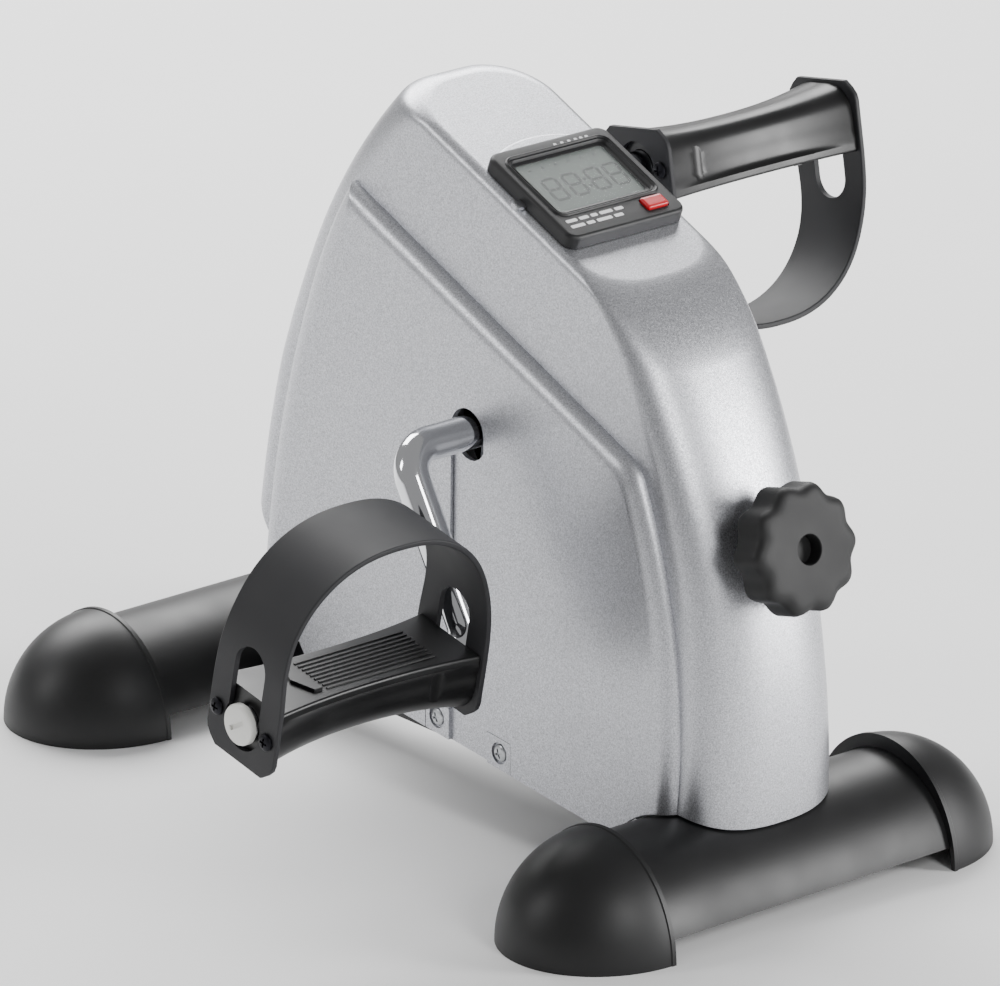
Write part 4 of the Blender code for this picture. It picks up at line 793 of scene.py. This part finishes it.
rings = []
for height, inset, radius in ((3.2, 0.0, 0.9), (6.9, 0.0, 0.9), (7.35, 0.15, 0.9),
                              (7.6, 0.55, 0.8), (7.66, 1.2, 0.6)):
    size = (BUTTON[0] - 2 * inset * MM, BUTTON[1] - 2 * inset * MM)
    rings.append([(x, y, height * MM) for x, y in rounded(size, radius * MM, 8, BUTTON_AT)])
key = mesh_object("red_key", skin(rings), counter_place)
red, tree, shader = new_material("glossy_red_abs")
key_at = own_space(tree)
pebble = add(tree, "TexNoise", {"Vector": key_at, "Scale": 1500.0, "Detail": 1.0})
tone = blend(tree, pebble.outputs["Fac"], "#b90f1c", "#c91825")
bump = add(tree, "Bump", {"Height": pebble.outputs["Fac"], "Strength": 0.08, "Distance": 0.05 * MM})
wire(tree, shader, {"Base Color": tone, "Normal": bump.outputs["Normal"], "Roughness": 0.28})
fit(key, "button", red, "red_plastic", "reset_button", sharp=60)

# ---------------------------------------------------------------- tension knob
# A moulded star knob with a collar behind and a blind round recess in its face, pressed on the
# head of the tension screw.

KNOB_RADIUS, LOBES, LOBE_DEPTH, LOBE_PHASE = 26.2 * MM, 10, 1.15 * MM, 0.5
rings = []
for height, inset in ((-16.5, 2.2), (-16.1, 1.2), (-15.2, 0.4), (-13.8, 0.0), (-4.4, 0.0), (-2.6, 0.5),
                      (-1.3, 1.5), (-0.5, 3.0), (-0.12, 5.0), (0.0, 8.0), (0.0, 15.0)):
    depth = LOBE_DEPTH * (1.0 if inset < 4 else max(0.0, 1 - (inset - 4) / 6))
    ring = []
    for a in circle(240):
        flute = depth * (1 - math.cos(LOBES * a + LOBE_PHASE))
        radius = KNOB_RADIUS - flute - inset * MM
        ring.append((radius * math.cos(a), radius * math.sin(a), height * MM))
    rings.append(ring)
knob = mesh_object("star_knob", skin(rings), knob_place)
collar = mm((0, -23), (12.0, -23), (12.6, -22.6), (14.0, -17.5), (14.0, -14), (0, -14))
combine(knob, turned(collar), "UNION", knob_place)
dish = mm((0, -6), (5.7, -6), (5.8, -0.6), (6.1, -0.15), (6.8, 0.3), (0, 0.3))
combine(knob, turned(dish), place=knob_place)
screw_socket = turned(mm((0, -50), (4.3, -50), (4.3, -8.5), (0, -8.5)), 40)
combine(knob, screw_socket, place=knob_place)
knob_black = moulded_plastic("matt_black_abs", "#060607", "#0c0c0e", 0.60, 0.05, 0.5, 0.12)
fit(knob, "knob", knob_black, "black_plastic", "tension_knob", sharp=50)

# ---------------------------------------------------------------- pedal bodies
# Each pedal is one waisted black moulding that turns on the crank's spindle. Its flat tread has
# fine ribs and a raised grip bar, and thumb scoops near its inner end.

PEDAL_IN, PEDAL_OUT = 88.0 * MM, 186.8 * MM
TREAD_HIGH, PEDAL_LOW = 12.5 * MM, 15.0 * MM
TILT = {"left": math.radians(12.0), "right": math.radians(170.0)}
RIM, RIB_PITCH = 1.2 * MM, 2.5 * MM


def pedal_place(name):
    """The pedal's own frame: x outwards along the spindle, z towards the strap."""
    turn = Matrix.Rotation(TILT[name], 4, "X")
    if name == "left":
        turn = turn @ Matrix.Rotation(math.pi, 4, "Z")
    return Matrix.Translation(spindle_at[name]) @ turn


def smooth_line(points, steps):
    """A smooth curve through points, ends included."""
    out = []
    for i in range(len(points) - 1):
        p = [points[max(i - 1, 0)], points[i], points[i + 1], points[min(i + 2, len(points) - 1)]]
        for k in range(steps):
            t = k / steps
            w = (-t + 2 * t * t - t**3, 2 - 5 * t * t + 3 * t**3, t + 4 * t * t - 3 * t**3, -t * t + t**3)
            out.append(tuple(sum(w[j] * p[j][c] for j in range(4)) / 2 for c in (0, 1)))
    return out + [points[-1]]


def pedal_section(x, spread):
    top, belly = 15 * MM + 3.5 * MM * spread, 12.5 * MM + 5.5 * MM * spread
    low = PEDAL_LOW - 3.5 * MM * (1 - spread)
    tread = [(top * 0.5, TREAD_HIGH), (top - RIM, TREAD_HIGH)]
    tread += arc((top - RIM, TREAD_HIGH - RIM), RIM, math.pi / 2, 0, 5)
    side = [(top, TREAD_HIGH - 3.2 * MM), (belly + 0.6 * MM, TREAD_HIGH - 5.2 * MM),
            (belly, TREAD_HIGH - 9 * MM), (belly, -2 * MM), (belly * 0.93, -low * 0.55),
            (belly * 0.70, -low * 0.88), (belly * 0.34, -low), (0, -low * 1.005)]
    right = tread + smooth_line(side, 5)[:-1]
    ring = right + [(0, -low * 1.005)] + [(-y, z) for y, z in reversed(right)]
    return [(x, y, z) for y, z in ring]


pedal_black = moulded_plastic("polished_black_abs", "#050506", "#0b0b0d", 0.38, 0.06, 0.8, 0.06)
middle, half_length = (PEDAL_IN + PEDAL_OUT) / 2, (PEDAL_OUT - PEDAL_IN) / 2
for name in ("left", "right"):
    place = pedal_place(name)
    rings = []
    for k in range(41):
        t = -1 + 2 * k / 40
        rings.append(pedal_section(middle + half_length * t, min(abs(t) ** 2.2, 1.0)))
    pedal = mesh_object(f"{name}_pedal", skin(rings), place)
    for y in range(-4, 5):
        at = y * RIB_PITCH
        rib = [(at - 0.55 * MM, -0.3 * MM), (at - 0.35 * MM, 0.55 * MM), (at + 0.35 * MM, 0.55 * MM),
               (at + 0.55 * MM, -0.3 * MM)]
        strip = skin([[(x, a, TREAD_HIGH + b) for a, b in rib] for x in (104 * MM, 158 * MM)])
        combine(pedal, strip, "UNION", place)
    grip = mm((160, 10), (164, 10), (168, 0), (164, -10), (160, -10), (164, 0))
    combine(pedal, plate(grip, TREAD_HIGH - 0.5 * MM, TREAD_HIGH + 1.3 * MM), "UNION", place)
    for y in (-1, 1):
        scoop = turned(mm((0, -13), (6.6, -13), (6.6, 5.5), (5.4, 8.0), (0, 8.0)), 48)
        combine(pedal, scoop, place=place @ Matrix.Translation((106 * MM, y * 20.6 * MM, 0)))
    bore = turned(mm((0, 50), (7.3, 50), (7.3, 250), (0, 250)), 48)
    combine(pedal, bore, place=place @ Matrix.Rotation(math.pi / 2, 4, "Y"))
    fit(pedal, f"{name}_pedal", pedal_black, "black_plastic", f"{name}_pedal_body")

# ---------------------------------------------------------------- straps
# A single band of soft PVC, cut flat and bent over the foot. Its wide ends have keyholes for the
# spindle and two screws each, so it can be let out.

STRAP = 2.4 * MM
STRAP_REACH = 74.5 * MM
STRAP_WIDTH, PLATE_WIDTH, PLATE_LOW = 36 * MM, 41 * MM, 16.5 * MM
# Soft PVC: matt and slightly grey from its bloom, with a leathery pebble.
pvc = moulded_plastic("soft_black_pvc", "#141417", "#1c1c20", 0.62, 0.05, 0.7, 0.18)
inside, outside = PEDAL_IN - 0.3 * MM - STRAP / 2, PEDAL_OUT + 0.3 * MM + STRAP / 2


def strap_half(z):
    """Half width at a height: full at the plates, narrower over the foot, clipped at the bottom corners."""
    ease = min(max((z - 10 * MM) / (40 * MM), 0.0), 1.0)
    half = (PLATE_WIDTH + (STRAP_WIDTH - PLATE_WIDTH) * ease * ease * (3 - 2 * ease)) / 2
    clip = min(max((-z - 9.5 * MM) / (7 * MM), 0.0), 1.0)
    return half - 6 * MM * clip**1.6


for name in ("left", "right"):
    place = pedal_place(name)
    spring = 22 * MM
    reach = STRAP_REACH - STRAP / 2 - spring
    down = [-PLATE_LOW + k * (PLATE_LOW + 20 * MM) / 14 for k in range(15)]
    way = [(outside, z) for z in down]
    for k in range(61):
        c, s = math.cos(math.pi * k / 60), math.sin(math.pi * k / 60)
        x = (inside + outside) / 2 + (outside - inside) / 2 * math.copysign(abs(c) ** 0.86, c)
        way.append((x, spring + reach * max(s, 0.0) ** 0.92))
    way += [(inside, z) for z in reversed(down)]
    rings = []
    for i, (x, z) in enumerate(way):
        a, b = way[max(i - 1, 0)], way[min(i + 1, len(way) - 1)]
        length = math.hypot(b[0] - a[0], b[1] - a[1])
        nx, nz = -(b[1] - a[1]) / length, (b[0] - a[0]) / length
        half, thick, soft = strap_half(z), STRAP / 2, 0.7 * MM
        edge = []
        for sy, st in ((1, 1), (1, -1), (-1, -1), (-1, 1)):
            start = {(1, 1): 90, (1, -1): 0, (-1, -1): -90, (-1, 1): 180}[(sy, st)]
            edge += arc((sy * (half - soft), st * (thick - soft)), soft, math.radians(start),
                        math.radians(start - 90), 4)
        rings.append([(x + nx * t, y, z + nz * t) for y, t in edge])
    strap = mesh_object(f"{name}_strap", skin(rings), place)
    keyhole = arc((0, -0.5 * MM), 10.5 * MM, math.radians(150), math.radians(390), 40)
    keyhole += arc((0, 24 * MM), 9.0 * MM, 0, math.pi, 30)
    for x in (PEDAL_IN, PEDAL_OUT):
        combine(strap, skin([[(x + d * MM, y, z) for y, z in keyhole] for d in (-7, 7)]), place=place)
    fit(strap, f"{name}_pedal", pvc, "strap_pvc", f"{name}_pedal_strap")

# ---------------------------------------------------------------- strap screws
# Black cross-recess screws, two through each end of a strap into the pedal.

black_oxide = plated_steel("black_oxide_steel", "#1d1d20", "#2a2a2e", 0.42, 3.0)
STRAP_SCREW = (3.5 * MM, 1.7 * MM, 1.1 * MM, 9 * MM)
STRAP_SCREW_Y = 15.0 * MM
for name in ("left", "right"):
    for end, x, sign in (("outer", outside + STRAP / 2 + 0.3 * MM, 1),
                         ("inner", inside - STRAP / 2 - 0.3 * MM, -1)):
        for spot, y in (("front", -STRAP_SCREW_Y), ("rear", STRAP_SCREW_Y)):
            place = pedal_place(name) @ placed((x, y, 0), sign * math.pi / 2, "Y")
            screw = f"{name}_{end}_{spot}"
            screw_at(f"{screw}_screw", f"{screw}_strap_screw", STRAP_SCREW, place,
                     f"{name}_pedal", black_oxide, "black_steel")

# ---------------------------------------------------------------- spindle caps
# A white nylon plug pushed on the end of each spindle keeps the pedal on. A moulded slot across
# it takes a screwdriver.

for name, side in (("left", -1), ("right", 1)):
    node = f"{name}_spindle_cap"
    low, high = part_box(node)
    inner_face = low.x if side > 0 else high.x
    place = placed(along_x(spindle_at[name], inner_face), side * math.pi / 2, "Y")
    profile = mm((0, 0), (8.0, 0), (8.3, 0.4), (8.3, 2.4), (8.0, 3.1), (7.2, 3.6), (0, 3.8))
    plug = mesh_object(f"{name}_plug", turned(profile), place)
    combine(plug, block((1.9 * MM, 8.6 * MM, 3 * MM), (0, 0, 4.2 * MM)),
            place=place @ Matrix.Rotation(0.5, 4, "Z"))
    fit(plug, "crank", nylon, "nylon", node)

# ---------------------------------------------------------------- stage, lights and camera
# A pale floor under broad soft lights, and a long lens from the machine's left front.

floor = mesh_object("floor", ([(-9, -9, 0), (9, -9, 0), (9, 9, 0), (-9, 9, 0)], [(0, 1, 2, 3)]))
paper, tree, shader = new_material("pale_paper")
fibre = add(tree, "TexNoise", {"Vector": own_space(tree), "Scale": 6.0, "Detail": 2.0})
tone = blend(tree, fibre.outputs["Fac"], "#f6f6f6", "#fafafa")
wire(tree, shader, {"Base Color": tone, "Roughness": 0.9})
floor.data.materials.append(paper)


def softbox(name, at, aim, size, watts):
    lamp = bpy.data.lights.new(name, "AREA")
    lamp.shape, lamp.size, lamp.size_y, lamp.energy = "RECTANGLE", size[0], size[1], watts
    holder = bpy.data.objects.new(name, lamp)
    holder.location = at
    holder.rotation_euler = (Vector(aim) - Vector(at)).to_track_quat("-Z", "Y").to_euler()
    bpy.context.scene.collection.objects.link(holder)


softbox("key_softbox", (-0.2, -1.9, 1.1), (0, -0.05, 0.12), (0.5, 0.9), 15)
softbox("side_softbox", (1.3, -1.6, 0.5), (0, -0.1, 0.14), (0.5, 1.2), 44)
softbox("top_softbox", (0.7, 1.4, 1.5), (0, 0, 0.15), (2.2, 1.2), 84)
softbox("back_softbox", (-1.9, 1.1, 1.3), (0, 0, 0.22), (0.5, 0.7), 12)

world = bpy.data.worlds.new("studio_walls")
world.use_nodes = True
bpy.context.scene.world = world
world.node_tree.nodes["Background"].inputs["Color"].default_value = linear("#ffffff")
world.node_tree.nodes["Background"].inputs["Strength"].default_value = 0.34

CAMERA_AZIMUTH, CAMERA_ELEVATION = math.radians(40.418), math.radians(19.892)
CAMERA_DISTANCE = 3.598
AIM = Vector((0.0054, 0.0, 0.1201))
gaze = Vector((math.sin(CAMERA_AZIMUTH) * math.cos(CAMERA_ELEVATION),
               math.cos(CAMERA_AZIMUTH) * math.cos(CAMERA_ELEVATION),
               -math.sin(CAMERA_ELEVATION)))
eye = bpy.data.cameras.new("camera")
eye.sensor_width = 36.0
eye.lens = 324.07
eye.clip_start, eye.clip_end = 0.1, 60.0
camera = bpy.data.objects.new("camera", eye)
camera.location = AIM - gaze * CAMERA_DISTANCE
camera.rotation_euler = gaze.to_track_quat("-Z", "Y").to_euler()
bpy.context.scene.collection.objects.link(camera)
bpy.context.scene.camera = camera
